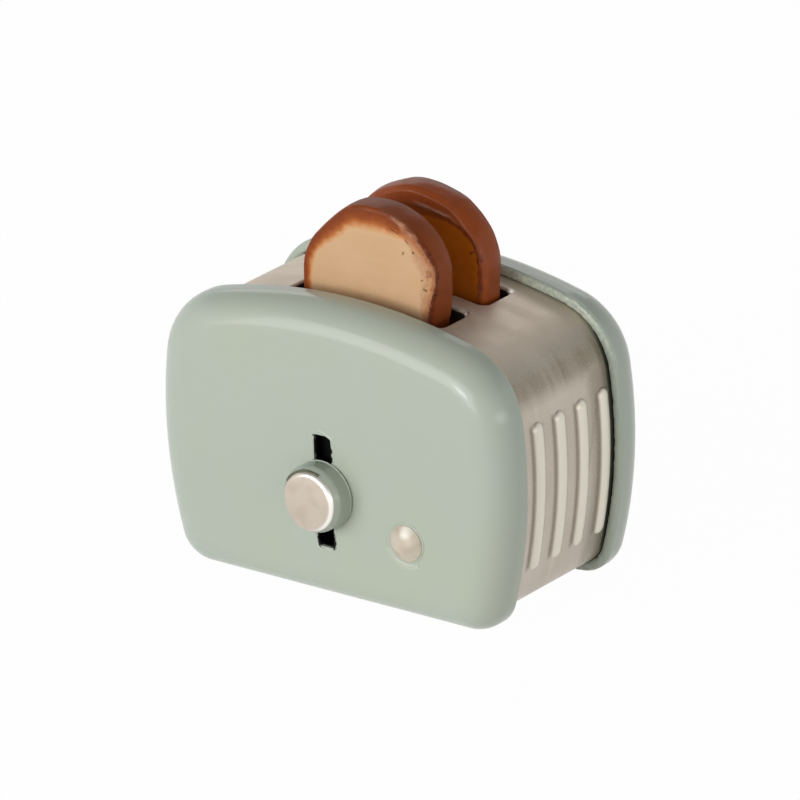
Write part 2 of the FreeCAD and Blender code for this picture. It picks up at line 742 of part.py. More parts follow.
def ribbed_body(name, inset, rib_radius):
    """The outline as a solid with the ribs of both sides on it.

    Each rib is a round bar bent round the side's own centre, with a ball at each end, sunk until
    only a shallow segment stands proud. The same bar with a smaller radius is the rib's hollow.
    """
    body = outline_body(name, inset, CASING_LENGTH)
    first_y = f"({CASING_LENGTH} / 2 + {S}RibShift - {S}RibPitch * ({S}RibCount - 1) / 2)"
    bar_reach = f"({S}SideRadius - {S}CasingInset + {S}RibRise - {RIB_BAR})"
    down = f"asin(({SIDE_Z} - {S}RibBottom - {S}RibWidth / 2) / {bar_reach})"
    up = f"asin(({S}RibTop - {S}RibWidth / 2 - {SIDE_Z}) / {bar_reach})"

    sketch = new_sketch(body, name + "_rib", "XY_Plane", offset=SIDE_Z)
    centre = FreeCAD.Vector(value(f"{SIDE_X} + {bar_reach}"), value(first_y), 0)
    sketch.addGeometry(Part.Circle(centre, FreeCAD.Vector(0, 0, 1), value(rib_radius)), False)
    axis_x = value(SIDE_X)
    axis_end = FreeCAD.Vector(axis_x, value(first_y), 0)
    sketch.addGeometry(Part.LineSegment(FreeCAD.Vector(axis_x, 0, 0), axis_end), True)
    hold_point(sketch, (0, CENTRE), f"{SIDE_X} + {bar_reach}", first_y)
    hold_radius(sketch, 0, rib_radius)
    hold_point(sketch, (1, START), SIDE_X, "0")
    hold_point(sketch, (1, END), SIDE_X, first_y)

    bar = body.newObject("PartDesign::Revolution", name + "_bar")
    bar.Profile = sketch
    bar.ReferenceAxis = (sketch, ["Axis0"])
    bar.Type = "TwoAngles"
    bind(bar, Angle=down, Angle2=up)
    repeat_rib(body, bar)
    for end, height in (
        ("bottom", f"{S}RibBottom + {S}RibWidth / 2"),
        ("top", f"{S}RibTop - {S}RibWidth / 2"),
    ):
        ball = body.newObject("PartDesign::AdditiveSphere", f"{name}_{end}_ball")
        bind(ball, Radius=rib_radius)
        place(
            ball,
            x=f"{SIDE_X} + sqrt({bar_reach}^2 - ({height} - {SIDE_Z})^2)",
            y=first_y,
            z=height,
        )
        repeat_rib(body, ball)
    return body


def repeat_rib(body, feature):
    """Repeat a rib's feature along the row of ribs and on the other side."""
    doc.recompute()
    repeats = body.newObject("PartDesign::MultiTransform", feature.Name + "_repeats")
    along = body.newObject("PartDesign::LinearPattern", feature.Name + "_row")
    along.Direction = (origin_feature(body, "Y_Axis"), [""])
    bind(along, Length=f"{S}RibPitch * ({S}RibCount - 1)", Occurrences=f"{S}RibCount")
    across = body.newObject("PartDesign::Mirrored", feature.Name + "_mirror")
    across.MirrorPlane = (origin_feature(body, "YZ_Plane"), [""])
    repeats.Originals = [feature]
    repeats.Transformations = [along, across]
    body.Tip = repeats
    doc.recompute()


def casing():
    """The sheet-metal casing: ribbed sides, flanged bread slots, open bottom."""
    outside = ribbed_body("casing_outside", f"{S}CasingInset", RIB_BAR)
    inner_inset = f"({S}CasingInset + {S}CasingWall)"
    inside = ribbed_body("casing_inside", inner_inset, f"({RIB_BAR} - {S}CasingWall)")

    flange_base = f"({CASING_TOP} - {S}FlangeDrop)"
    flanges, slots = [], []
    for row, slot_y in (("front", FRONT_SLOT_Y), ("rear", REAR_SLOT_Y)):
        local_y = f"{slot_y} - {CASING_FRONT}"
        flange = rounded_block(
            f"{row}_flange",
            f"{SLOT_LENGTH} / 2 + {S}CasingWall",
            f"{SLOT_WIDTH} / 2 + {S}CasingWall",
            f"{S}SlotCorner + {S}CasingWall",
            f"2 * {S}FlangeDrop",
        )
        flanges.append(place(flange, x=f"{S}SlotX", y=local_y, z=flange_base))
        slot = rounded_block(
            f"{row}_slot",
            f"{SLOT_LENGTH} / 2",
            f"{SLOT_WIDTH} / 2",
            f"{S}SlotCorner",
            f"4 * {S}FlangeDrop",
        )
        slots.append(place(slot, x=f"{S}SlotX", y=local_y, z=f"{flange_base} - {S}FlangeDrop"))

    hollow = cut("casing_hollow", inside, fuse("slot_flanges", flanges))
    shell = cut("casing_shell", outside, hollow)
    bottom = box(
        "casing_bottom",
        f"2 * {CASING_GAP}",
        f"2 * {CASING_LENGTH}",
        f"3 * {S}CasingWall",
        x=f"-{CASING_GAP}",
        y=f"-{CASING_LENGTH} / 2",
        z=f"{S}CasingInset - {S}CasingWall",
    )
    openings = fuse("casing_openings", slots + [bottom])
    sheet_metal = cut("casing_sheet", shell, openings)

    crown_centre = FreeCAD.Vector(0, 0, value(f"{S}PanelHeight - {S}CrownRadius"))
    crown_radius = value(f"{S}CrownRadius - {S}CasingInset")
    slot_x, half_slot = value(f"{S}SlotX"), value(f"{SLOT_LENGTH} / 2")
    length = value(CASING_LENGTH)

    def on_slot_edge(edge):
        """Whether an edge runs round a bread slot on the casing's top."""
        extent = edge.BoundBox
        if max(slot_x - extent.XMin, extent.XMax - slot_x) > half_slot + NEAR:
            return False
        if extent.YMin < NEAR or extent.YMax > length - NEAR:
            return False
        middle = edge.valueAt((edge.FirstParameter + edge.LastParameter) / 2)
        reach = math.hypot(middle.x - crown_centre.x, middle.z - crown_centre.z)
        return abs(reach - crown_radius) < 1e-3

    rolled = doc.addObject("Part::Fillet", "casing")
    rolled.Base = sheet_metal
    radius = value(f"{S}SlotRoll")
    names = edges_where(sheet_metal.Shape, on_slot_edge)
    rolled.Edges = [(int(name[4:]), radius, radius) for name in names]
    rolled.Label = "casing"
    return place(rolled, y=CASING_FRONT)


# ---------------------------------------------------------------- base and guide wire


def base_plate():
    """The plate that closes the bottom, held between the panels' rims and the casing's flanges."""
    reach = f"({S}Depth / 2 - {S}EdgeRound - {S}Fit)"
    plate = rounded_block(
        "base_blank",
        BASE_HALF,
        reach,
        f"{S}BaseCorner",
        f"{S}CasingInset - {S}PanelWall - 2 * {S}Fit",
    )
    place(plate, y=MIDDLE_Y, z=f"{S}PanelWall + {S}Fit")
    feet = [
        cylinder(
            f"{side}_wire_hole",
            f"{S}WireRadius + {S}Fit",
            f"2 * {S}CasingInset",
            x=f"{sign} * {WIRE_HALF}",
            y=WIRE_Y,
        )
        for side, sign in (("left", -1), ("right", 1))
    ]
    return cut("base_plate", plate, fuse("wire_holes", feet))


def guide_wire():
    """One wire bent to an upside-down U, whose legs guide the lift."""
    body = new_body("guide_wire")
    path = new_sketch(body, "wire_path", "XZ_Plane")
    half, top = value(WIRE_HALF), value(WIRE_TOP)
    bend, foot = value(f"{S}WireBend"), value(WIRE_FOOT)
    up = FreeCAD.Vector(0, 0, 1)
    left = Part.Circle(FreeCAD.Vector(bend - half, top - bend, 0), up, bend)
    right = Part.Circle(FreeCAD.Vector(half - bend, top - bend, 0), up, bend)
    for piece in (
        Part.LineSegment(FreeCAD.Vector(-half, foot, 0), FreeCAD.Vector(-half, top - bend, 0)),
        Part.ArcOfCircle(left, math.pi / 2, math.pi),
        Part.LineSegment(FreeCAD.Vector(bend - half, top, 0), FreeCAD.Vector(half - bend, top, 0)),
        Part.ArcOfCircle(right, 0, math.pi / 2),
        Part.LineSegment(FreeCAD.Vector(half, top - bend, 0), FreeCAD.Vector(half, foot, 0)),
    ):
        path.addGeometry(piece, False)
    for first, first_end, second, second_end in (
        (0, END, 1, END),
        (1, START, 2, START),
        (2, END, 3, END),
        (3, START, 4, START),
    ):
        path.addConstraint(Sketcher.Constraint("Tangent", first, first_end, second, second_end))
    hold_point(path, (0, START), f"-{WIRE_HALF}", WIRE_FOOT)
    hold_point(path, (4, END), WIRE_HALF, WIRE_FOOT)
    hold_point(path, (1, CENTRE), f"{S}WireBend - {WIRE_HALF}", f"{WIRE_TOP} - {S}WireBend")
    hold_point(path, (3, CENTRE), f"{WIRE_HALF} - {S}WireBend", f"{WIRE_TOP} - {S}WireBend")

    section = new_sketch(body, "wire_section", "XY_Plane", offset=WIRE_FOOT)
    centre = FreeCAD.Vector(-half, 0, 0)
    section.addGeometry(Part.Circle(centre, up, value(f"{S}WireRadius")), False)
    hold_point(section, (0, CENTRE), f"-{WIRE_HALF}", "0")
    hold_radius(section, 0, f"{S}WireRadius")

    pipe = body.newObject("PartDesign::AdditivePipe", "wire_pipe")
    pipe.Profile = section
    pipe.Spine = path
    doc.recompute()
    return place(body, y=WIRE_Y)


# ---------------------------------------------------------------- lever and lift


def lever_knob():
    """The knob's green body, with a seat for the cap and a socket for the pin."""
    seat = f"{CAP_RADIUS} + {S}Fit"
    socket = f"{S}StemRadius + {S}Fit"
    body = turned(
        "lever_knob",
        [
            ("0", f"-{S}StemSocket"),
            (socket, f"-{S}StemSocket"),
            (socket, "0"),
            (f"{S}KnobRadius", "0"),
            (f"{S}KnobRadius", f"-{S}KnobBarrel"),
            (f"{S}KnobRadius - {S}KnobTaper", f"-{S}KnobSkirt"),
            (seat, f"-{S}KnobSkirt"),
            (seat, f"-{S}CapSeat"),
            ("0", f"-{S}CapSeat"),
        ],
    )
    barrel = -value(f"{S}KnobBarrel")
    round_edges(body, f"{S}KnobCurve", lambda edge: in_plane(edge, "Y", barrel))
    return place(body, x=f"{S}LeverX", y=KNOB_BACK, z=f"{S}LeverHeight")


def knob_cap():
    """The domed silver cap pressed into the knob."""
    height = f"({S}KnobReach - {S}FreeGap - {S}CapSeat)"
    body = turned(
        "knob_cap",
        [
            ("0", "0"),
            (CAP_RADIUS, "0"),
            (CAP_RADIUS, f"-{S}CapEdge", "dome"),
            ("0", f"-{height}"),
        ],
    )
    edge_y = -value(f"{S}CapEdge")
    round_edges(body, f"{S}CapRound", lambda edge: in_plane(edge, "Y", edge_y))
    return place(body, x=f"{S}LeverX", y=f"{KNOB_BACK} - {S}CapSeat", z=f"{S}LeverHeight")


def lever_pin():
    """The pin that joins the knob to the lift through the slot, riveted over behind the lift."""
    shoulder = f"({LIFT_Y} - {KNOB_BACK})"
    tail = f"({shoulder} + {S}LiftSheet)"
    body = turned(
        "lever_pin",
        [
            ("0", f"-{S}StemSocket"),
            (f"{S}StemRadius", f"-{S}StemSocket"),
            (f"{S}StemRadius", shoulder),
            (f"{S}TenonRadius", shoulder),
            (f"{S}TenonRadius", tail),
            (f"{S}StemHeadRadius", tail, "dome"),
            ("0", f"{tail} + {S}StemHeadHeight"),
        ],
    )
    return place(body, x=f"{S}LeverX", y=KNOB_BACK, z=f"{S}LeverHeight")


def slide_washer():
    """The nylon washer that slides on the inside of the panel."""
    bore = f"{S}StemRadius + {S}Fit"
    body = turned(
        "slide_washer",
        [
            (bore, "0"),
            (f"{S}WasherRadius", "0"),
            (f"{S}WasherRadius", f"{S}WasherThickness"),
            (bore, f"{S}WasherThickness"),
        ],
    )
    return place(body, x=f"{S}LeverX", y=WASHER_Y, z=f"{S}LeverHeight")


def spring_washer():
    """The dished washer that gives the lever its friction."""
    bore = f"{S}StemRadius + {S}Fit"
    body = turned(
        "spring_washer",
        [
            (f"{S}WasherRadius", "0"),
            (f"{S}WasherRadius", f"{S}SpringSheet"),
            (bore, f"{S}SpringHeight"),
            (bore, f"{S}SpringHeight - {S}SpringSheet"),
        ],
    )
    return place(body, x=f"{S}LeverX", y=SPRING_Y, z=f"{S}LeverHeight")


def lift_plate():
    """One sheet bent to a wall, a shelf for the trays and two lower ears."""
    body = new_body("lift_plate")
    outer_bend = f"{S}LiftBend + {S}LiftSheet"
    shelf_under = f"{S}ShelfHeight - {S}LiftSheet"
    ear_top = f"{S}EarHeight + {S}LiftSheet"
    ear_back = f"({WIRE_Y} - {LIFT_Y} + {S}EarReach)"
    shelf_back = f"({LIFT_BACK} - {LIFT_Y})"
    side_view = new_sketch(body, "lift_side", "YZ_Plane")
    draw_profile(
        side_view,
        [
            ("0", f"{S}EarHeight"),
            (ear_back, f"{S}EarHeight"),
            (ear_back, ear_top),
            (f"{S}LiftSheet", ear_top),
            (f"{S}LiftSheet", shelf_under),
            (shelf_back, shelf_under),
            (shelf_back, f"{S}ShelfHeight"),
            ("0", f"{S}ShelfHeight"),
        ],
    )
    pad(body, side_view, f"2 * {LIFT_HALF}", midplane=True)

    for radius, y, z in (
        (outer_bend, "0", f"{S}ShelfHeight"),
        (outer_bend, "0", f"{S}EarHeight"),
        (f"{S}LiftBend", f"{S}LiftSheet", shelf_under),
        (f"{S}LiftBend", f"{S}LiftSheet", ear_top),
    ):
        round_edges(body, radius, along_x(y, z))

    between_ears = new_sketch(body, "between_ears", "XZ_Plane")
    half_gap = f"({WIRE_HALF} - {S}EarHalf)"
    foot_gap = f"({S}EarHeight + 2 * {S}LiftSheet)"
    draw_rectangle(
        between_ears, f"-{half_gap}", half_gap, f"({S}EarHeight - {S}LiftSheet)", foot_gap
    )
    pocket(body, between_ears, f"2 * {ear_back}")

    windows = new_sketch(body, "lift_windows", "XZ_Plane")
    for sign in (-1, 1):
        draw_rounded_rectangle(
            windows,
            f"{S}WindowHalf",
            f"{S}WindowHeight / 2",
            f"{S}WindowCorner",
            x=f"{sign} * {S}WindowX",
            y=f"{S}WindowBase + {S}WindowHeight / 2",
        )
    pocket(body, windows, f"2 * {S}LiftSheet")

    beside_trays = new_sketch(body, "beside_trays", "XY_Plane", offset=f"{S}ShelfHeight")
    notch_front = f"({WIRE_Y} + {S}EarReach - {LIFT_Y})"
    for sign in (-1, 1):
        draw_rectangle(
            beside_trays,
            f"{sign} * {TRAY_HALF}",
            f"{sign} * ({LIFT_HALF} + {S}LiftSheet)",
            notch_front,
            f"({shelf_back} + {S}LiftSheet)",
        )
    pocket(body, beside_trays, f"2 * {S}LiftSheet")

    legs = [(f"{sign} * {WIRE_HALF}", f"{WIRE_Y} - {LIFT_Y}") for sign in (-1, 1)]
    rivets = [
        (f"{sign} * {S}TrayRivetX", f"{row_y} - {LIFT_Y}")
        for sign in (-1, 1)
        for row_y in (FRONT_ROW_Y, REAR_ROW_Y)
    ]
    shelf_top = f"{S}ShelfHeight"
    for name, plane, offset, radius, centres in (
        (
            "pin_hole",
            "XZ_Plane",
            "0",
            f"{S}TenonRadius + {S}Fit",
            [(f"{S}LeverX", f"{S}LeverHeight")],
        ),
        ("bush_holes", "XY_Plane", shelf_top, f"{S}BushRadius + {S}Fit", legs),
        ("ear_holes", "XY_Plane", ear_top, f"{S}WireRadius + {S}FreeGap", legs),
        ("rivet_holes", "XY_Plane", shelf_top, f"{S}RivetRadius + {S}Fit", rivets),
    ):
        holes = new_sketch(body, name, plane, offset=offset)
        draw_circles(holes, radius, centres)
        pocket(body, holes, f"2 * {S}LiftSheet")
    return place(body, y=LIFT_Y)


def bread_tray(name, row_y):
    """A channel that holds one slice upright, riveted to the shelf."""
    body = new_body(name)
    half = f"({TRAY_DEPTH} / 2)"
    inner = f"({half} - {S}TrayWall)"
    side_view = new_sketch(body, name + "_side", "YZ_Plane")
    draw_profile(
        side_view,
        [
            (f"-{half}", "0"),
            (half, "0"),
            (half, f"{S}TrayHeight"),
            (inner, f"{S}TrayHeight"),
            (inner, f"{S}TrayWall"),
            (f"-{inner}", f"{S}TrayWall"),
            (f"-{inner}", f"{S}TrayHeight"),
            (f"-{half}", f"{S}TrayHeight"),
        ],
    )
    pad(body, side_view, f"2 * {TRAY_HALF}", midplane=True)
    for sign in ("-", ""):
        round_edges(body, f"{S}TrayBend + {S}TrayWall", along_x(f"{sign}{half}", "0"))
        round_edges(body, f"{S}TrayBend", along_x(f"{sign}{inner}", f"{S}TrayWall"))
    holes = new_sketch(body, name + "_rivet_holes", "XY_Plane", offset=f"{S}TrayWall")
    centres = [(f"{sign} * {S}TrayRivetX", "0") for sign in (-1, 1)]
    draw_circles(holes, f"{S}RivetRadius + {S}Fit", centres)
    pocket(body, holes, f"2 * {S}TrayWall")
    return place(body, y=row_y, z=f"{S}ShelfHeight")


def tray_rivets():
    """Four rivets, flush in the trays' floors and domed under the shelf."""
    rivets = []
    for row, row_y in (("front", FRONT_ROW_Y), ("rear", REAR_ROW_Y)):
        for side, sign in (("left", -1), ("right", 1)):
            under = f"-({S}TrayWall + {S}LiftSheet)"
            rivet = turned(
                f"{row}_{side}_rivet",
                [
                    ("0", "0"),
                    (f"{S}RivetRadius", "0"),
                    (f"{S}RivetRadius", under),
                    (f"{S}RivetHeadRadius", under, "dome"),
                    ("0", f"{under} - {S}RivetHeadHeight"),
                ],
                plane="XZ_Plane",
            )
            place(
                rivet,
                x=f"{sign} * {S}TrayRivetX",
                y=row_y,
                z=f"{S}ShelfHeight + {S}TrayWall",
            )
            rivets.append(rivet)
    return group("tray_rivets", rivets)


def guide_bush(name, sign):
    """A flanged bush in the shelf that runs on one leg of the guide wire."""
    bore = f"{S}WireRadius + {S}RunFit"
    body = turned(
        name,
        [
            (bore, f"-{S}BushLength"),
            (f"{S}BushRadius", f"-{S}BushLength"),
            (f"{S}BushRadius", "0"),
            (f"{S}BushFlange", "0"),
            (f"{S}BushFlange", f"{S}BushFlangeHeight"),
            (bore, f"{S}BushFlangeHeight"),
        ],
        plane="XZ_Plane",
    )
    return place(body, x=f"{sign} * {WIRE_HALF}", y=WIRE_Y, z=f"{S}ShelfHeight")


# ---------------------------------------------------------------- dial and bread


def dial_stud():
    """The domed stud that stands for the browning dial."""
    shank_end = f"({S}PanelWall + {S}NutThickness + {S}NutTail)"
    body = turned(
        "dial_stud",
        [
            ("0", shank_end),
            (f"{S}DialShankRadius", shank_end),
            (f"{S}DialShankRadius", "0"),
            (f"{S}DialRadius", "0"),
            (f"{S}DialRadius", f"-{S}DialEdge", "dome"),
            ("0", f"-{S}DialRise"),
        ],
    )
    return place(body, x=f"{S}DialX", y=FRONT_FACE, z=f"{S}DialHeight")


def dial_push_nut():
    """The push nut that holds the stud behind the panel."""
    bore = f"{S}DialShankRadius + {S}Fit"
    body = turned(
        "dial_push_nut",
        [
            (bore, "0"),
            (f"{S}NutRadius", "0"),
            (f"{S}NutRadius", f"{S}NutThickness / 2"),
            (bore, f"{S}NutThickness"),
        ],
    )
    return place(body, x=f"{S}DialX", y=FRONT_INNER, z=f"{S}DialHeight")


def bread_slice(name, x, row_y):
    """A slice with upright sides, rounded shoulders and an arched top crust."""
    body = new_body(name)
    half, height = f"({S}BreadWidth / 2)", f"{S}BreadHeight"
    shoulder_x = f"({half} - {S}BreadShoulder)"
    shoulder_z = f"({height} - {S}BreadCrown)"
    heel_x = f"({half} - {S}BreadHeel)"
    # The top arc touches both shoulders: its radius follows from where they lie
    top_radius = (
        f"(({shoulder_x}^2 + {S}BreadCrown^2 - {S}BreadShoulder^2)"
        f" / (2 * ({S}BreadCrown - {S}BreadShoulder)))"
    )
    corners = [
        (heel_x, f"{S}BreadHeel", f"{S}BreadHeel"),
        (shoulder_x, shoulder_z, f"{S}BreadShoulder"),
        ("0", f"{height} - {top_radius}", top_radius),
        (f"-{shoulder_x}", shoulder_z, f"{S}BreadShoulder"),
        (f"-{heel_x}", f"{S}BreadHeel", f"{S}BreadHeel"),
    ]
    # Where each arc starts and ends, as directions from its centre
    lean = math.atan2(value(shoulder_z) - value(corners[2][1]), value(shoulder_x))
    turns = [(-math.pi / 2, 0), (0, lean), (lean, math.pi - lean)]
    turns += [(math.pi - lean, math.pi), (math.pi, 3 * math.pi / 2)]

    front_view = new_sketch(body, name + "_front", "XZ_Plane")
    for (centre_x, centre_z, radius), (start, end) in zip(corners, turns):
        centre = FreeCAD.Vector(value(centre_x), value(centre_z), 0)
        circle = Part.Circle(centre, FreeCAD.Vector(0, 0, 1), value(radius))
        front_view.addGeometry(Part.ArcOfCircle(circle, start, end), False)
    for first, second in ((0, 1), (3, 4), (4, 0)):
        line = Part.LineSegment(front_view.getPoint(first, END), front_view.getPoint(second, START))
        front_view.addGeometry(line, False)
    for first, second in ((0, 5), (5, 1), (1, 2), (2, 3), (3, 6), (6, 4), (4, 7), (7, 0)):
        front_view.addConstraint(Sketcher.Constraint("Tangent", first, END, second, START))
    for index in (0, 1, 3, 4):
        hold_point(front_view, (index, CENTRE), corners[index][0], corners[index][1])
    front_view.addConstraint(Sketcher.Constraint("PointOnObject", 2, CENTRE, VERTICAL_AXIS))
    hold_radius(front_view, 0, f"{S}BreadHeel")
    hold_radius(front_view, 1, f"{S}BreadShoulder")
    hold_radius(front_view, 2, top_radius)
    pad(body, front_view, f"{S}BreadThickness", midplane=True)
    face = value(f"{S}BreadThickness / 2")
    round_edges(
        body,
        f"{S}BreadRound",
        lambda edge: in_plane(edge, "Y", face) or in_plane(edge, "Y", -face),
    )
    return place(body, x=x, y=row_y, z=BREAD_BASE)


# ---------------------------------------------------------------- assembly

parts = [
    front_panel(),
    rear_panel(),
    tie_screws(),
    casing(),
    base_plate(),
    guide_wire(),
    dial_stud(),
    dial_push_nut(),
    lever_knob(),
    knob_cap(),
    lever_pin(),
    slide_washer(),
    spring_washer(),
    lift_plate(),
    bread_tray("front_bread_tray", FRONT_ROW_Y),
    bread_tray("rear_bread_tray", REAR_ROW_Y),
    tray_rivets(),
    guide_bush("left_guide_bush", -1),
    guide_bush("right_guide_bush", 1),
    bread_slice("front_bread_slice", f"{S}FrontBreadX", FRONT_ROW_Y),
    bread_slice("rear_bread_slice", f"{S}RearBreadX", REAR_ROW_Y),
]
doc.recompute()

for thing in doc.Objects:
    if "Invalid" in thing.State or "Error" in thing.State:
        raise RuntimeError(f"{thing.Name} failed: {thing.State}")

os.makedirs("parts", exist_ok=True)
for part in parts:
    if part.Shape.isNull() or not part.Shape.isValid():
        raise RuntimeError(f"{part.Label} has no valid shape")
    part.Shape.exportStep(f"parts/{part.Label}.step")
    box_size = part.Shape.BoundBox
    print(f"{part.Label}: {len(part.Shape.Solids)} solid(s), {part.Shape.Volume:.1f} mm3, {box_size}")
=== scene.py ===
"""Finishes, paint build-up, toast and studio for a dolls' house toaster.

All lengths are metres in the row frame: +X to the right as seen from the knob, +Y to the back and
+Z up, with the toaster standing on z = 0. The CAD solids are the frame, and every piece here is
made round them.
"""

import logging
import math
from dataclasses import dataclass, field, replace
from enum import Enum, IntEnum

import bpy
import numpy as np
from mathutils import Matrix, Vector, geometry, noise


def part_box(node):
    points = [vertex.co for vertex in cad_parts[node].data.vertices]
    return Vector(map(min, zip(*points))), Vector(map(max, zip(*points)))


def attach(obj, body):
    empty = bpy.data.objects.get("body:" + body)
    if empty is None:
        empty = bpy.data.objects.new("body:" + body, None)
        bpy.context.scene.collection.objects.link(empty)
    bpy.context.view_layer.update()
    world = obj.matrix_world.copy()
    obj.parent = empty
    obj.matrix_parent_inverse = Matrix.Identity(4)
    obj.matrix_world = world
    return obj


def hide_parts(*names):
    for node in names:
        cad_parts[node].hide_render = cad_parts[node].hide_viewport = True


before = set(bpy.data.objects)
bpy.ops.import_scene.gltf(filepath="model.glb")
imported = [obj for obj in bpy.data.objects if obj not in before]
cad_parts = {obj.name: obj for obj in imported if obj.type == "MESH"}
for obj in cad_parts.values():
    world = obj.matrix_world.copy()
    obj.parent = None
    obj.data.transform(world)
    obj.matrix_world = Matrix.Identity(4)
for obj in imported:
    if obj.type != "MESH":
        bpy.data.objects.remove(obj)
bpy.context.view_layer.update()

LOG = logging.getLogger("toaster")
MM = 0.001
WHITE = (1.0, 1.0, 1.0, 1.0)

Colour = tuple[float, float, float, float]
Triple = tuple[float, float, float]
Span = tuple[float, float]
# A smooth step's low and high, then its start and end where they aren't 0 and 1.
Ramp = tuple[float, ...]
Socket = bpy.types.NodeSocket
Value = Socket | bpy.types.Node | float | tuple[float, ...]


class Slot(Enum):
    """Names of material slots for the added pieces; nothing in the script uses them."""

    ENAMEL = "mint_enamel"
    SILVER = "satin_silver"
    BREAD = "bread_resin"


class Body(Enum):
    """The CAD bodies that pieces ride on."""

    HOUSING = "housing"
    LEVER = "lever"
    FRONT_SLICE = "front_slice"
    REAR_SLICE = "rear_slice"


class Mask(Enum):
    """Mesh attributes for paint that is browned, blushed, dark (pits and painted shade) and pale
    (wear and painted highlight).
    """

    TOAST = "toast"
    BLUSH = "blush"
    # Dark pits on the bread, and painted shade on the slot's lip.
    PITS_AND_SHADE = "char"
    # Worn paint, and painted highlight on the knob's cap and the rear slice's rim.
    WORN_AND_HIGHLIGHT = "worn_and_highlight"


def srgb(red: int, green: int, blue: int) -> Colour:
    """Turn a colour as painters name it into the renderer's linear colour.

    Args:
        red: 0 to 255.
        green: 0 to 255.
        blue: 0 to 255.

    Returns:
        Linear red, green, blue and an alpha of 1.
    """

    def linear(level: int) -> float:
        """One channel, by the standard curve."""
        share = level / 255
        return share / 12.92 if share <= 0.04045 else ((share + 0.055) / 1.055) ** 2.4

    return (linear(red), linear(green), linear(blue), 1.0)


# ------------------------------------------------------------------ node graphs


class Graph:
    """A node tree whose nodes are added one at a time."""

    def __init__(self, tree: bpy.types.NodeTree) -> None:
        """Start on a tree."""
        self.nodes, self.links = tree.nodes, tree.links

    def fill(self, socket: Socket, value: Value) -> None:
        """Link an input to another node, or set it to a constant.

        Args:
            socket: The input.
            value: An output, a node for its first output, or a constant.
        """
        if isinstance(value, bpy.types.Node):
            value = value.outputs[0]
        if isinstance(value, Socket):
            self.links.new(value, socket)
        else:
            socket.default_value = value

    def add(
        self, kind: str, option: tuple[str, str] | None = None, **inputs: Value
    ) -> bpy.types.Node:
        """Add a node.

        Args:
            kind: Its type.
            option: One of its settings, with the choice made there.
            inputs: What its inputs get, with underscores for the spaces in their names.

        Returns:
            The node.
        """
        node = self.nodes.new(kind)
        if option:
            setattr(node, *option)
        for name, value in inputs.items():
            self.fill(node.inputs[name.replace("_", " ")], value)
        return node

    def step(self, operation: str, first: Value, second: Value = 0.0) -> Socket:
        """One step of arithmetic.

        Args:
            operation: Its name, such as ABSOLUTE.
            first: The first number.
            second: The second number, where the operation has one.

        Returns:
            The result.
        """
        node = self.add("ShaderNodeMath", ("operation", operation))
        self.fill(node.inputs[0], first)
        self.fill(node.inputs[1], second)
        return node.outputs["Value"]

    def fold(self, operation: str, terms: tuple[Value, ...]) -> Socket:
        """Run one operation over several numbers.

        Args:
            operation: Its name.
            terms: The numbers.

        Returns:
            The result.
        """
        total = terms[0]
        for term in terms[1:]:
            total = self.step(operation, total, term)
        return total

    def sum(self, *terms: Value) -> Socket:
        """Several numbers added up."""
        return self.fold("ADD", terms)

    def product(self, *terms: Value) -> Socket:
        """Several numbers multiplied."""
        return self.fold("MULTIPLY", terms)

    def largest(self, *terms: Value) -> Socket:
        """The largest of several numbers."""
        return self.fold("MAXIMUM", terms)

    def ease(
        self, value: Value, low: float, high: float, start: float = 0.0, end: float = 1.0
    ) -> Socket:
        """A smooth step.

        Args:
            value: The number to judge.
            low: Where the step begins.
            high: Where it ends.
            start: The level below low.
            end: The level above high.

        Returns:
            A level from start to end.
        """
        return self.add(
            "ShaderNodeMapRange",
            ("interpolation_type", "SMOOTHSTEP"),
            Value=value,
            From_Min=low,
            From_Max=high,
            To_Min=start,
            To_Max=end,
        ).outputs["Result"]

    def within(self, value: Value, low: float, high: float, soft: float) -> Socket:
        """Mark a band of a number.

        Args:
            value: The number to judge.
            low: Where the band begins.
            high: Where it ends.
            soft: How wide its soft edges are.

        Returns:
            1 in the band and 0 outside it.
        """
        return self.product(
            self.ease(value, low - soft / 2, low + soft / 2),
            self.ease(value, high - soft / 2, high + soft / 2, 1.0, 0.0),
        )

    def reach(self, *legs: Value) -> Socket:
        """The straight distance over two or three legs at right angles."""
        return self.step("SQRT", self.sum(*[self.step("MULTIPLY", leg, leg) for leg in legs]))


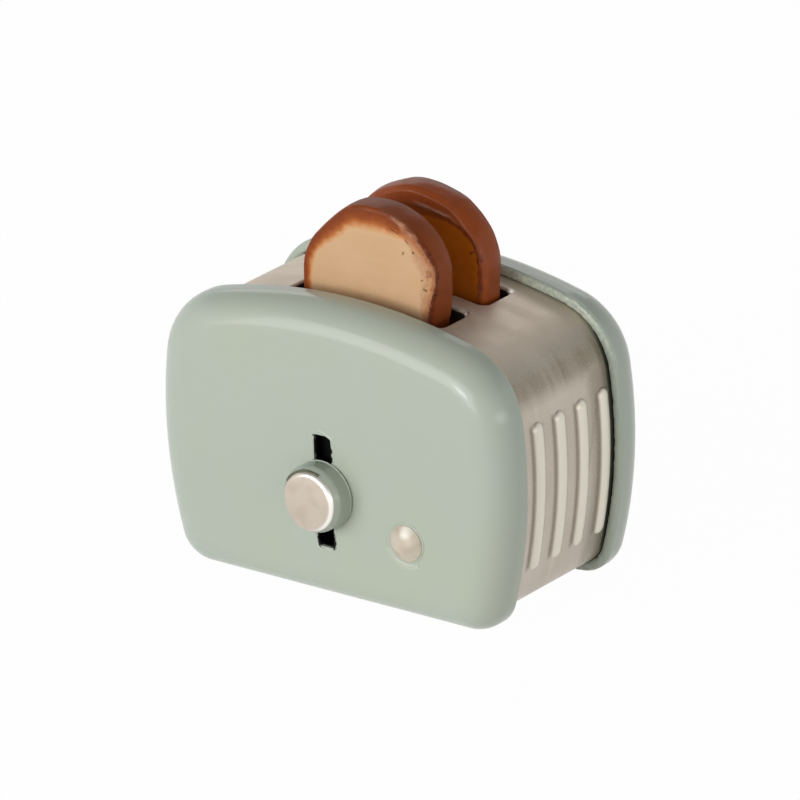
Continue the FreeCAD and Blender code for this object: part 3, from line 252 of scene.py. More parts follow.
class ShaderGraph(Graph):
    """A material whose nodes are added one at a time round a Principled shader."""

    spot_core: float = 0.4

    def __init__(self, name: str) -> None:
        """Start a material with nothing but its shader.

        Args:
            name: The material's name.
        """
        self.material = bpy.data.materials.new(name)
        self.material.use_nodes = True
        self.material.node_tree.nodes.clear()
        super().__init__(self.material.node_tree)
        self.shader = self.add("ShaderNodeBsdfPrincipled")
        self.add("ShaderNodeOutputMaterial", Surface=self.shader)
        self.place = self.add("ShaderNodeTexCoord").outputs["Object"]

    def finish(self, **inputs: Value) -> bpy.types.Material:
        """Finish the shader.

        Args:
            inputs: What its inputs get, with underscores for the spaces in their names.

        Returns:
            The finished material.
        """
        for name, value in inputs.items():
            self.fill(self.shader.inputs[name.replace("_", " ")], value)
        return self.material

    def cloud(
        self,
        feature: float,
        detail: float = 2.0,
        stretch: Triple | None = None,
        distortion: float = 0.0,
    ) -> Socket:
        """Fractal noise between 0 and 1.

        Args:
            feature: The size of its largest features, in metres.
            detail: Octaves of finer noise on top.
            stretch: Squeeze on each axis, for streaks.
            distortion: How much the noise is bent by itself.

        Returns:
            The noise.
        """
        place = self.place
        if stretch:
            place = self.add("ShaderNodeMapping", Vector=place, Scale=stretch)
        return self.add(
            "ShaderNodeTexNoise",
            Vector=place,
            Scale=1 / feature,
            Detail=detail,
            Distortion=distortion,
        ).outputs["Fac"]

    def axis(self, name: str) -> Socket:
        """One of the object coordinates: X, Y or Z."""
        return self.add("ShaderNodeSeparateXYZ", Vector=self.place).outputs[name]

    def mask(self, mask: Mask) -> Socket:
        """A mesh attribute as a number."""
        return self.add("ShaderNodeAttribute", ("attribute_name", mask.value)).outputs["Fac"]

    def spot(self, place: Triple, radius: float) -> Socket:
        """Mark a round spot.

        Args:
            place: Its middle.
            radius: Where it has faded out.

        Returns:
            1 at its middle and 0 beyond its radius.
        """
        legs = [self.sum(self.axis(name), -along) for name, along in zip("XYZ", place)]
        return self.ease(self.reach(*legs), self.spot_core * radius, radius, 1.0, 0.0)

    def blend(self, share: Value, low: Value, high: Value) -> Socket:
        """Mix two colours.

        Args:
            share: 0 for the first, 1 for the second.
            low: The first colour.
            high: The second colour.

        Returns:
            The mixed colour.
        """
        mix = self.add("ShaderNodeMix", ("data_type", "RGBA"), Factor=share)
        colours = [socket for socket in mix.inputs if socket.type == "RGBA"]
        self.fill(colours[0], low)
        self.fill(colours[1], high)
        return next(socket for socket in mix.outputs if socket.type == "RGBA")

    def ladder(self, value: Value, rungs: tuple[tuple[float, Colour], ...]) -> Socket:
        """Colours along a scale.

        Args:
            value: A place on the scale, from 0 to 1.
            rungs: Places on the scale and their colours.

        Returns:
            The colour there.
        """
        ramp = self.add("ShaderNodeValToRGB", Fac=value)
        elements = ramp.color_ramp.elements
        for index, (position, colour) in enumerate(rungs):
            rung = elements[index] if index < 2 else elements.new(position)
            rung.position = position
            rung.color = colour
        return ramp.outputs["Color"]

    def relief(self, *layers: tuple[Socket, float]) -> None:
        """Raise fine detail on the surface and on its clear coat.

        Args:
            layers: Pairs of a height from 0 to 1 and the depth in metres that it stands for.
        """
        normal = None
        for height, depth in layers:
            bump = self.add("ShaderNodeBump", Distance=depth, Height=height)
            if normal:
                self.fill(bump.inputs["Normal"], normal)
            normal = bump.outputs["Normal"]
        self.finish(Normal=normal, Coat_Normal=normal)


# ------------------------------------------------------------------ finishes


@dataclass(frozen=True)
class Enamel:
    """Glossy stove enamel: faint clouds of tone, orange peel and a hard clear surface.

    The wall of the lever's slot, from a little behind the face, and a patch at its foot are
    painted matte black as painted shade for the dark inside of the slot. Both are given by their
    reach on each axis.
    """

    colour: Colour = srgb(179, 187, 172)
    cool: Colour = srgb(175, 187, 176)
    warm: Colour = srgb(179, 186, 169)
    cloud_size: float = 17 * MM
    cloud_ramp: Ramp = (0.35, 0.65)
    cloud_share: float = 0.45
    peel_size: float = 1.3 * MM
    peel_depth: float = 0.004 * MM
    sag_size: float = 9 * MM
    sag_depth: float = 0.05 * MM
    roughness: float = 0.34
    specular: float = 0.25
    coat: float = 0.42
    coat_roughness: float = 0.1
    # Painted shade: where the slot's wall, and a patch at its foot, are painted matte black.
    slot: tuple[Span, Span, Span] = (
        (-1.7 * MM, 1.2 * MM), (-13.42 * MM, -12.9 * MM), (7.2 * MM, 22.6 * MM),
    )
    slot_foot_shade: tuple[Span, Span, Span] = (
        (0.4 * MM, 1.46 * MM), (-13.88 * MM, -12.9 * MM), (7.6 * MM, 9.4 * MM),
    )
    slot_edges: Triple = (0.05 * MM, 0.05 * MM, 0.1 * MM)
    slot_shade: Colour = srgb(9, 9, 8)
    slot_shade_roughness: float = 0.95
    coat_end: float = 0.5
    # Pale flecks kept high and to the right: partly pale lumps of enamel, partly painted glints
    # where light catches the bead.
    fleck: Colour | None = None
    fleck_size: float = 0.55 * MM
    fleck_ramp: Ramp = (0.46, 0.56)
    fleck_above: Ramp = (26 * MM, 33 * MM)
    fleck_right: Ramp = (-2 * MM, 6 * MM)

    def build(self, name: str) -> bpy.types.Material:
        """Make the material.

        Args:
            name: Its name.

        Returns:
            The finished material.
        """
        graph = ShaderGraph(name)
        clouds = graph.cloud(self.cloud_size, detail=3.0, distortion=0.4)
        tint = graph.blend(graph.ease(clouds, *self.cloud_ramp), self.cool, self.warm)
        tone = graph.blend(self.cloud_share, self.colour, tint)
        if self.fleck is not None:
            flecks = graph.product(
                graph.ease(graph.cloud(self.fleck_size, detail=4.0), *self.fleck_ramp),
                graph.ease(graph.axis("Z"), *self.fleck_above),
                graph.ease(graph.axis("X"), *self.fleck_right),
            )
            tone = graph.blend(flecks, tone, self.fleck)
        # Painted shade: matte black on the slot's wall, its foot and its lip's shaded outline.
        slot_shade = graph.largest(
            self.inside(graph, self.slot),
            self.inside(graph, self.slot_foot_shade),
            graph.mask(Mask.PITS_AND_SHADE),
        )
        graph.relief(
            (graph.cloud(self.peel_size, detail=1.0), self.peel_depth),
            (graph.cloud(self.sag_size, detail=1.0), self.sag_depth),
        )
        return graph.finish(
            Base_Color=graph.blend(slot_shade, tone, self.slot_shade),
            Roughness=graph.ease(slot_shade, 0.0, 1.0, self.roughness, self.slot_shade_roughness),
            Coat_Weight=graph.ease(slot_shade, 0.0, self.coat_end, self.coat, 0.0),
            Coat_Roughness=self.coat_roughness,
            Specular_IOR_Level=self.specular,
        )

    def inside(self, graph: ShaderGraph, region: tuple[Span, Span, Span]) -> Socket:
        """Mark a block of space.

        Args:
            graph: The material's nodes.
            region: The block's reach along X, Y and Z.

        Returns:
            1 inside the block and 0 outside it.
        """
        bands = zip("XYZ", region, self.slot_edges)
        return graph.product(
            *[graph.within(graph.axis(name), *band, soft) for name, band, soft in bands]
        )


@dataclass(frozen=True)
class Lacquer:
    """Champagne metallic lacquer on pressed sheet, painted highlight on the ribs and shade beside
    them.

    The sides are part of a cylinder, from which the ribs rise. The slots' flanges are painted
    black as shade, with painted glints of bright metal at their back corners. The painted shade in
    the creases beside a rib is given by where it begins, is full, begins to fade and ends, from
    the rib's edge.
    """

    colour: Colour = srgb(198, 187, 174)
    shade: Colour = srgb(180, 169, 155)
    shade_ramp: Ramp = (0.3, 0.7, 0.0, 0.6)
    pale: Colour = srgb(255, 247, 231)
    streak_ramp: Ramp = (0.55, 0.8, 0.0, 0.14)
    flake_ramp: Ramp = (0.45, 0.75, 0.0, 0.12)
    # Painted light: above the crown's heights the top is painted paler, as if lit from above.
    painted_top_light: Colour = srgb(247, 228, 200)
    crown: Ramp = (32.6 * MM, 34.6 * MM, 0.0, 0.3)
    crown_dull: float = 0.45
    # Painted shade on the casing's shoulders, and on its sides towards the rear panel.
    painted_shade: Colour = srgb(120, 112, 92)
    painted_shade_out: Ramp = (17 * MM, 22 * MM)
    painted_shade_top: Span = (29 * MM, 32.6 * MM)
    painted_shade_edge: float = 3 * MM
    painted_shade_streaks: Ramp = (0.2, 0.8, 0.95, 0.5)
    shaded_rear: Ramp = (6.2 * MM, 8.4 * MM)
    shaded_share: float = 0.55
    overspray: Colour = srgb(184, 188, 168)
    seam_front: Ramp = (-8.0 * MM, -7.3 * MM, 0.4, 0.0)
    seam_rear: Ramp = (10.9 * MM, 11.6 * MM, 0.0, 0.5)
    seam_wander: float = 1.6 * MM
    seam_wander_size: float = 2.5 * MM
    # Painted shade in the gap between the casing's sides and the rear panel's rim.
    gap_shade: Colour = srgb(38, 38, 26)
    gap_shade_band: Span = (11.15 * MM, 12.2 * MM)
    gap_shade_edge: float = 0.3 * MM
    gap_shade_wander: float = 0.25
    gap_shade_out: Ramp = (21 * MM, 24.5 * MM, 0.0, 0.9)
    side_centre: Span = (33.9 * MM, 19.82 * MM)
    side_radius: float = 59.5 * MM
    rib_first: float = -3.855 * MM
    rib_last: float = 9.855 * MM
    rib_pitch: float = 4.57 * MM
    rib_half: float = 1.15 * MM
    rib_ends: Span = (6.9 * MM, 26.1 * MM)
    rib_end_fade: float = 1.0 * MM
    # Painted highlight: the ribs are painted pale, and less metallic, as if catching the light.
    rib_highlight_rise: Ramp = (0.05 * MM, 0.35 * MM)
    rib_highlight_share: float = 0.95
    rib_highlight_metal: float = 0.2
    # Painted shade in the creases beside the ribs.
    crease: Colour = srgb(128, 117, 103)
    crease_share: float = 0.75
    crease_ahead: Ramp = (-0.75 * MM, -0.1 * MM, 0.0, 0.35 * MM)
    crease_behind: Ramp = (-0.3 * MM, -0.05 * MM, 0.05 * MM, 0.5 * MM)
    crease_behind_share: float = 0.3
    crease_rise: Ramp = (-0.3 * MM, -0.1 * MM)
    crease_edge: float = 0.2 * MM
    # Painted shade: the near-black of the slots' flanges.
    black: Colour = srgb(22, 18, 15)
    black_dull: float = 0.25
    crown_radius: float = 74.6 * MM
    flange_top: float = 37.32 * MM
    flange_fade: Span = (-0.12 * MM, 0.1 * MM)
    flange_foot: Span = (-4 * MM, -3 * MM)
    flange_reach: float = 13.2 * MM
    flange_edge: float = 0.1 * MM
    slot_centre: float = 0.45 * MM
    # Painted glints: bright, less rough metal at the slots' back corners.
    glint_colour: Colour = srgb(240, 236, 228)
    glint_polish: float = -0.2
    glint_radius: float = 0.75 * MM
    glint_spots: tuple[Triple, Triple] = (
        (12.15 * MM, 0.0 * MM, 36.66 * MM),
        (12.15 * MM, 9.1 * MM, 36.66 * MM),
    )
    flake_size: float = 0.12 * MM
    flake_depth: float = 0.002 * MM
    streak_size: float = 5 * MM
    streak_squeeze: Triple = (0.4, 2.2, 0.4)
    streak_depth: float = 0.006 * MM
    blotch_size: float = 7 * MM
    blotch_depth: float = 0.03 * MM
    metal: float = 0.62
    metal_end: float = 0.6
    roughness: Ramp = (0.3, 0.7, 0.32, 0.44)

    def build(self, name: str) -> bpy.types.Material:
        """Make the material.

        Args:
            name: Its name.

        Returns:
            The finished material.
        """
        graph = ShaderGraph(name)
        streaks = graph.cloud(self.streak_size, 5.0, self.streak_squeeze, distortion=0.6)
        blotches = graph.cloud(self.blotch_size, detail=4.0)
        flakes = graph.cloud(self.flake_size, detail=0.0)
        painted_top_light = graph.ease(graph.axis("Z"), *self.crown)
        painted_highlight, crease_shade = self.ribs(graph)
        overspray, crevice = self.seams(graph)
        flange = self.flanges(graph)
        worn_and_highlight = graph.largest(*[graph.spot(spot, self.glint_radius) for spot in self.glint_spots])
        tone = self.colour
        for share, colour in (
            (graph.ease(blotches, *self.shade_ramp), self.shade),
            (graph.ease(streaks, *self.streak_ramp), self.pale),
            # Painted light on the crowned top.
            (painted_top_light, self.painted_top_light),
            # Painted shade on the shoulders and the rear of the sides.
            (self.shade_on_shoulders(graph, streaks), self.painted_shade),
            # Painted highlight on the ribs.
            (graph.product(painted_highlight, self.rib_highlight_share), self.pale),
            # Painted shade in the creases beside the ribs.
            (graph.product(crease_shade, self.crease_share), self.crease),
            (graph.ease(flakes, *self.flake_ramp), self.pale),
            (overspray, self.overspray),
            # Painted shade in the gap at the rear panel's rim.
            (crevice, self.gap_shade),
            # Painted shade: the slots' flanges are painted black.
            (flange, self.black),
            # Painted glints at the slots' back corners.
            (worn_and_highlight, self.glint_colour),
        ):
            tone = graph.blend(share, tone, colour)
        paint = graph.largest(overspray, crevice, flange)
        metallic = graph.product(
            graph.ease(paint, 0.0, self.metal_end, self.metal, 0.0),
            graph.ease(painted_highlight, 0.0, 1.0, 1.0, self.rib_highlight_metal),
        )
        rough = graph.sum(
            graph.ease(streaks, *self.roughness),
            graph.product(painted_top_light, self.crown_dull),
            graph.product(flange, self.black_dull),
            graph.product(worn_and_highlight, self.glint_polish),
        )
        graph.relief(
            (flakes, self.flake_depth),
            (streaks, self.streak_depth),
            (blotches, self.blotch_depth),
        )
        return graph.finish(
            Base_Color=tone, Metallic=graph.largest(metallic, worn_and_highlight), Roughness=rough
        )

    def shade_on_shoulders(self, graph: ShaderGraph, streaks: Socket) -> Socket:
        """Find where shade is painted: on the shoulders, and on the sides towards the rear panel.

        Args:
            graph: The material's nodes.
            streaks: The lacquer's streaks.

        Returns:
            How dark it is.
        """
        beyond = graph.ease(graph.step("ABSOLUTE", graph.axis("X")), *self.painted_shade_out)
        shoulder = graph.product(
            beyond,
            graph.within(graph.axis("Z"), *self.painted_shade_top, self.painted_shade_edge),
            graph.ease(streaks, *self.painted_shade_streaks),
        )
        rear = graph.product(
            graph.ease(graph.axis("Y"), *self.shaded_rear),
            graph.ease(graph.axis("Z"), *self.painted_shade_top, self.shaded_share, 0.0),
            beyond,
        )
        return graph.largest(shoulder, rear)

    def ribs(self, graph: ShaderGraph) -> tuple[Socket, Socket]:
        """Find the ribs and the creases beside them.

        Args:
            graph: The material's nodes.

        Returns:
            Where the ribs get painted highlight, and where the creases get painted shade.
        """
        out = graph.sum(graph.step("ABSOLUTE", graph.axis("X")), self.side_centre[0])
        up = graph.sum(graph.axis("Z"), -self.side_centre[1])
        rise = graph.sum(graph.reach(out, up), -self.side_radius)
        half = self.rib_pitch / 2
        along = graph.sum(graph.axis("Y"), half - self.rib_first)
        across = graph.sum(graph.step("FLOORED_MODULO", along, self.rib_pitch), -half)
        beside = []
        for edge, reach, share in (
            (-self.rib_half, self.crease_ahead, 1.0),
            (self.rib_half, self.crease_behind, self.crease_behind_share),
        ):
            begin, full, fade, end = (edge + gap for gap in reach)
            rising = graph.ease(across, begin, full, 0.0, share)
            beside.append(graph.product(rising, graph.ease(across, fade, end, 1.0, 0.0)))
        margin = 2 * self.rib_half
        crease_shade = graph.product(
            graph.largest(*beside),
            graph.within(
                graph.axis("Y"),
                self.rib_first - margin,
                self.rib_last + margin,
                self.crease_edge,
            ),
            graph.within(graph.axis("Z"), *self.rib_ends, self.rib_end_fade),
            graph.ease(rise, *self.crease_rise),
        )
        return graph.ease(rise, *self.rib_highlight_rise), crease_shade

    def seams(self, graph: ShaderGraph) -> tuple[Socket, Socket]:
        """Find the casing's edges beside the panels.

        Args:
            graph: The material's nodes.

        Returns:
            Where enamel drifted onto the casing, and where shade is painted in the gap at the
            rear.
        """
        depth = graph.axis("Y")
        ragged = graph.sum(graph.cloud(self.seam_wander_size, 3.0), -0.5)
        wander = graph.product(ragged, self.seam_wander)
        edge = graph.sum(depth, wander)
        drift = graph.sum(
            graph.ease(edge, *self.seam_rear), graph.ease(edge, *self.seam_front)
        )
        line = graph.sum(depth, graph.product(wander, self.gap_shade_wander))
        # Painted shade along the gap at the rear panel's rim.
        crevice = graph.product(
            graph.within(line, *self.gap_shade_band, self.gap_shade_edge),
            graph.ease(graph.step("ABSOLUTE", graph.axis("X")), *self.gap_shade_out),
        )
        return drift, crevice

    def flanges(self, graph: ShaderGraph) -> Socket:
        """Find the slots' turned-down flanges, below the crowned top, where black is painted as
        shade.

        Args:
            graph: The material's nodes.

        Returns:
            1 on the flanges.
        """
        across = graph.axis("X")
        sag = graph.product(across, across, 0.5 / self.crown_radius)
        level = graph.sum(graph.axis("Z"), sag)
        spans = (self.flange_fade, self.flange_foot)
        fade, foot = ([self.flange_top + gap for gap in span] for span in spans)
        low, high = self.slot_centre - self.flange_reach, self.slot_centre + self.flange_reach
        return graph.product(
            graph.ease(level, *fade, 1.0, 0.0),
            graph.ease(level, *foot),
            graph.within(across, low, high, self.flange_edge),
        )


@dataclass(frozen=True)
class Metal:
    """Bare or silver-painted metal with a fine random grain and soft dents."""

    colour: Colour
    tarnish: Colour
    tarnish_ramp: Ramp = (0.4, 0.75, 0.0, 0.7)
    metal: float = 1.0
    grain_ramp: Ramp = (0.3, 0.7)
    roughness: Span = (0.22, 0.36)
    grain_size: float = 0.5 * MM
    grain_depth: float = 0.006 * MM
    dent_size: float = 2.2 * MM
    dent_depth: float = 0.04 * MM
    # Colour of worn edges and of painted highlight, where the mask or the spot says.
    worn_and_highlight: Colour = srgb(252, 250, 244)
    specular: float = 0.5
    highlight_spot: Triple | None = None
    highlight_reach: float = 1.0 * MM

    def build(self, name: str) -> bpy.types.Material:
        """Make the material.

        Args:
            name: Its name.

        Returns:
            The finished material.
        """
        graph = ShaderGraph(name)
        grain = graph.cloud(self.grain_size, detail=3.0)
        dents = graph.cloud(self.dent_size, detail=1.0)
        tone = graph.blend(graph.ease(dents, *self.tarnish_ramp), self.colour, self.tarnish)
        # Worn edges and painted highlight: the mask, and the highlight spot where one is given.
        worn_and_highlight = graph.mask(Mask.WORN_AND_HIGHLIGHT)
        if self.highlight_spot is not None:
            worn_and_highlight = graph.largest(worn_and_highlight, graph.spot(self.highlight_spot, self.highlight_reach))
        graph.relief((grain, self.grain_depth), (dents, self.dent_depth))
        return graph.finish(
            Base_Color=graph.blend(worn_and_highlight, tone, self.worn_and_highlight),
            Roughness=graph.ease(grain, *self.grain_ramp, *self.roughness),
            Metallic=self.metal,
            Specular_IOR_Level=self.specular,
        )


@dataclass(frozen=True)
class Plastic:
    """Turned nylon: milky, soft and slightly grained."""

    colour: Colour = srgb(226, 222, 208)
    shade: Colour = srgb(205, 200, 184)
    grain_size: float = 0.4 * MM
    grain_ramp: Ramp = (0.3, 0.7)
    grain_depth: float = 0.01 * MM
    roughness: float = 0.5
    milk: float = 0.1

    def build(self, name: str) -> bpy.types.Material:
        """Make the material.

        Args:
            name: Its name.

        Returns:
            The finished material.
        """
        graph = ShaderGraph(name)
        grain = graph.cloud(self.grain_size, detail=3.0)
        graph.relief((grain, self.grain_depth))
        return graph.finish(
            Base_Color=graph.blend(
                graph.ease(grain, *self.grain_ramp), self.colour, self.shade
            ),
            Roughness=self.roughness,
            Subsurface_Weight=self.milk,
            Subsurface_Scale=MM,
        )


@dataclass(frozen=True)
class ToastPaint:
    """Hand-painted resin bread: crumb, toasted border, crust, dry-brushed blush, dark pits and
    painted highlight.
    """

    crumb: Colour
    crumb_shade: Colour
    border: Colour
    toasted: Colour
    crust: Colour
    crust_dark: Colour
    rungs: tuple[float, ...] = (0.0, 0.16, 0.34, 0.52, 0.72, 1.0)
    blush: Colour = srgb(178, 127, 93)
    blush_grain: Ramp = (0.25, 0.6, 0.6, 1.0)
    # Painted highlight colour along the rim's ridge.
    worn_and_highlight: Colour = srgb(216, 178, 152)
    highlight_brush: Ramp = (0.3, 0.65)
    char: Colour = srgb(98, 44, 24)
    mottle_size: float = 3.2 * MM
    mottle_depth: float = 0.05 * MM
    mottle_share: float = 0.16
    grain_size: float = 0.45 * MM
    grain_depth: float = 0.012 * MM
    brush_size: float = 1.6 * MM
    brush_squeeze: Triple = (0.45, 1.0, 1.9)
    brush_share: float = 0.14
    roughness: Ramp = (0.3, 0.7, 0.4, 0.52)
    coat: float = 0.03
    coat_roughness: float = 0.2
    specular: float = 0.12
    milk: float = 0.05

    def build(self, name: str) -> bpy.types.Material:
        """Make the material.

        Args:
            name: Its name.

        Returns:
            The finished material.
        """
        graph = ShaderGraph(name)
        mottle = graph.cloud(self.mottle_size, detail=4.0, distortion=0.8)
        grain = graph.cloud(self.grain_size, detail=3.0)
        brush = graph.cloud(self.brush_size, 3.0, self.brush_squeeze)
        drift = graph.product(graph.sum(mottle, -0.5), self.mottle_share)
        strokes = graph.product(graph.sum(brush, -0.5), self.brush_share)
        toast = graph.sum(graph.mask(Mask.TOAST), drift, strokes)
        colours = (
            self.crumb_shade, self.crumb, self.border, self.toasted, self.crust, self.crust_dark,
        )
        tone = graph.ladder(toast, tuple(zip(self.rungs, colours)))
        blush = graph.product(graph.mask(Mask.BLUSH), graph.ease(grain, *self.blush_grain))
        tone = graph.blend(blush, tone, self.blush)
        # Painted highlight along the rim's ridge.
        painted_highlight = graph.product(graph.mask(Mask.WORN_AND_HIGHLIGHT), graph.ease(brush, *self.highlight_brush))
        tone = graph.blend(painted_highlight, tone, self.worn_and_highlight)
        graph.relief((grain, self.grain_depth), (mottle, self.mottle_depth))
        return graph.finish(
            Base_Color=graph.blend(graph.mask(Mask.PITS_AND_SHADE), tone, self.char),
            Roughness=graph.ease(mottle, *self.roughness),
            Coat_Weight=self.coat,
            Coat_Roughness=self.coat_roughness,
            Specular_IOR_Level=self.specular,
            Subsurface_Weight=self.milk,
            Subsurface_Scale=MM,
        )


PALE_TOAST = ToastPaint(
    crumb=srgb(211, 174, 136),
    crumb_shade=srgb(205, 168, 128),
    border=srgb(208, 154, 104),
    toasted=srgb(180, 104, 54),
    crust=srgb(146, 72, 32),
    crust_dark=srgb(124, 58, 27),
)
DARK_TOAST = ToastPaint(
    crumb=srgb(212, 116, 26),
    crumb_shade=srgb(196, 102, 20),
    border=srgb(180, 94, 28),
    toasted=srgb(152, 76, 30),
    crust=srgb(158, 74, 28),
    crust_dark=srgb(134, 66, 32),
    coat=0.2,
    coat_roughness=0.16,
)
SATIN_SILVER = Metal(
    colour=srgb(201, 189, 175),
    tarnish=srgb(190, 176, 160),
    metal=0.8,
    roughness=(0.3, 0.4),
    grain_depth=0.003 * MM,
    dent_depth=0.05 * MM,
)
# Painted shade: a darker copy of the mint enamel for the knob.
SHADED_KNOB_ENAMEL = Enamel(
    colour=srgb(164, 172, 158), cool=srgb(160, 171, 160), warm=srgb(164, 170, 154)
)
# Colour of the pale flecks on the rim beads: partly paint lumps, partly painted glints.
GATHERED_AND_GLINT = srgb(196, 204, 186)
SMEAR = srgb(187, 193, 177)
# Painted shadow: the dark colour between the knob's cap and its skirt.
GAP_SHADE = srgb(92, 94, 72)
# The dial: cast silver with a painted highlight spot near its top.
CAST_SILVER = Metal(
    colour=srgb(208, 196, 178),
    tarnish=srgb(190, 176, 157),
    metal=0.1,
    roughness=(0.5, 0.6),
    grain_depth=0.004 * MM,
    dent_size=1.8 * MM,
    dent_depth=0.35 * MM,
    worn_and_highlight=srgb(244, 238, 226),
    highlight_reach=1.5 * MM,
)
# From the dial's middle to its painted highlight.
DIAL_SHINE = (0.4 * MM, 0.0, 2.15 * MM)
BRIGHT_STEEL = Metal(colour=srgb(176, 176, 174), tarnish=srgb(150, 150, 148))
# Black inner steel: partly a dark finish, partly painted shade for the dark inside of the bread
# slots.
BLACK_STEEL = Metal(
    colour=srgb(11, 11, 10),
    tarnish=srgb(17, 16, 14),
    metal=0.0,
    specular=0.12,
    roughness=(0.65, 0.8),
)
BRASS = Metal(colour=srgb(204, 172, 100), tarnish=srgb(172, 138, 76))


# ------------------------------------------------------------------ mesh helpers


def new_object(name: str, data: bpy.types.ID) -> bpy.types.Object:
    """Put data in the scene.

    Args:
        name: The object's name.
        data: Its mesh, lamp or camera.

    Returns:
        The new object.
    """
    piece = bpy.data.objects.new(name, data)
    bpy.context.scene.collection.objects.link(piece)
    return piece


def mesh_object(
    name: str, points: np.ndarray, faces: list[tuple[int, ...]]
) -> bpy.types.Object:
    """Make a smooth piece from points and faces.

    Args:
        name: The piece's name.
        points: Rows of x, y, z.
        faces: Corner indices of each face, counter-clockwise from outside.

    Returns:
        The new object, linked to the scene.
    """
    mesh = bpy.data.meshes.new(name)
    mesh.from_pydata([tuple(point) for point in points], [], faces)
    mesh.polygons.foreach_set("use_smooth", [True] * len(mesh.polygons))
    mesh.update()
    return new_object(name, mesh)


def mesh_points(mesh: bpy.types.Mesh) -> np.ndarray:
    """A mesh's points.

    Args:
        mesh: The mesh.

    Returns:
        Rows of x, y, z.
    """
    points = np.empty(len(mesh.vertices) * 3)
    mesh.vertices.foreach_get("co", points)
    return points.reshape(-1, 3)


def write_mask(piece: bpy.types.Object, mask: Mask, levels: np.ndarray) -> None:
    """Keep a level for each of a piece's points, which its finish reads.

    Args:
        piece: The piece.
        mask: What the levels are.
        levels: From 0 to 1, in the order of the points.
    """
    attribute = piece.data.attributes.new(mask.value, "FLOAT", "POINT")
    attribute.data.foreach_set("value", levels)


def smooth(
    low: float | np.ndarray, high: float | np.ndarray, value: float | np.ndarray
) -> np.ndarray:
    """A smooth step.

    Args:
        low: Where it is 0.
        high: Where it is 1, which may lie below low.
        value: The numbers to judge.

    Returns:
        Levels from 0 to 1.
    """
    share = np.clip((value - low) / (high - low), 0, 1)
    return share * share * (3 - 2 * share)


def bell(distance: float | np.ndarray, width: float) -> np.ndarray:
    """A bell curve: 1 at no distance, and faded out at twice its width."""
    return np.exp(-((distance / width) ** 2))


def even_steps(loop: np.ndarray, count: int) -> np.ndarray:
    """Points at equal steps round a closed loop.

    Args:
        loop: Rows of coordinates.
        count: How many points.

    Returns:
        The points, from the loop's first.
    """
    loop = np.vstack([loop, loop[:1]])
    reach = np.concatenate([[0], np.cumsum(np.linalg.norm(np.diff(loop, axis=0), axis=1))])
    wanted = np.linspace(0, reach[-1], count, endpoint=False)
    return np.column_stack([np.interp(wanted, reach, axis) for axis in loop.T])


def closed_spline(knots: np.ndarray, count: int, fineness: int = 40) -> np.ndarray:
    """Points at equal steps along a smooth closed curve through knots.

    Args:
        knots: Rows of coordinates.
        count: How many points.
        fineness: Steps from knot to knot by which its length is measured.

    Returns:
        The points, in the knots' order.
    """
    before, after = np.roll(knots, 1, axis=0), np.roll(knots, -1, axis=0)
    beyond = np.roll(knots, -2, axis=0)
    steps = np.linspace(0, 1, fineness, endpoint=False)[:, None, None]
    curve = 0.5 * (
        2 * knots
        + (after - before) * steps
        + (2 * before - 5 * knots + 4 * after - beyond) * steps**2
        + (3 * knots - before - 3 * after + beyond) * steps**3
    )
    return even_steps(curve.transpose(1, 0, 2).reshape(-1, knots.shape[1]), count)


def ring_faces(rings: int, around: int) -> list[tuple[int, ...]]:
    """Quads between neighbouring closed rings of points.

    Args:
        rings: How many rings.
        around: How many points each has.

    Returns:
        Corner indices of each face.
    """
    faces = []
    for ring in range(rings - 1):
        for step in range(around):
            following = (step + 1) % around
            low, high = ring * around, (ring + 1) * around
            faces.append((low + step, low + following, high + following, high + step))
    return faces


def midpoint(box: tuple[Vector, Vector]) -> np.ndarray:
    """The middle of a box, from its lowest and highest corner."""
    return np.array([(low + high) / 2 for low, high in zip(*box)])


def towards(bearing: float, rise: float) -> Vector:
    """A direction by its bearing, from straight in front to the right, and its height angle."""
    level = math.cos(rise)
    return Vector((math.sin(bearing) * level, -math.cos(bearing) * level, math.sin(rise)))


def ride(piece: bpy.types.Object, body: Body, finish: bpy.types.Material) -> None:
    """Finish a piece, and let it move with a body.

    Args:
        piece: The piece.
        body: The body that it moves with.
        finish: Its material.
    """
    piece.data.materials.clear()
    piece.data.materials.append(finish)
    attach(piece, body.value)
    LOG.info("%s: %d faces on %s", piece.name, len(piece.data.polygons), body.value)


def dress(nodes: tuple[str, ...], finish: bpy.types.Material) -> None:
    """Give CAD nodes their finish.

    Args:
        nodes: Their names.
        finish: Their material.
    """
    for node in nodes:
        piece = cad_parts[node]
        piece.data.materials.clear()
        piece.data.materials.append(finish)
        LOG.info("%s: CAD node in %s", node, finish.name)


# ------------------------------------------------------------------ bread


@dataclass(frozen=True)
class Pit:
    """A dark pit or crack in a slice's face.

    Its middle is given as shares of the solid's width and height, and its lean in degrees
    clockwise from upright.
    """

    across: float
    up: float
    radius: float
    length: float = 0.0
    lean: float = 0.0
    hollow: float = 0.0


@dataclass(frozen=True)
class Border:
    """Something that runs along a slice's edge, with a width in millimetres that changes.

    On the top the width follows from how far across a point lies, from -1 at the left to 1 at the
    right, and below the right shoulder from how far up it lies, from 0 to 1.
    """

    top: tuple[Span, ...]
    right: tuple[Span, ...] = ()

    def width(self, across: np.ndarray, up: np.ndarray) -> np.ndarray:
        """The border's width at each point, in metres.

        Args:
            across: From -1 to 1.
            up: From 0 to 1.

        Returns:
            The widths.
        """
        width = np.interp(across, *np.array(self.top).T) * MM
        if self.right:
            side = np.interp(up, *np.array(self.right).T) * MM
            width = np.where(across > self.top[-1][0], side, width)
        return width


class Side(IntEnum):
    """The sides of a slice, from front to back."""

    FACE = 0
    EDGE = 1
    CRUST = 2
    BACK = 3


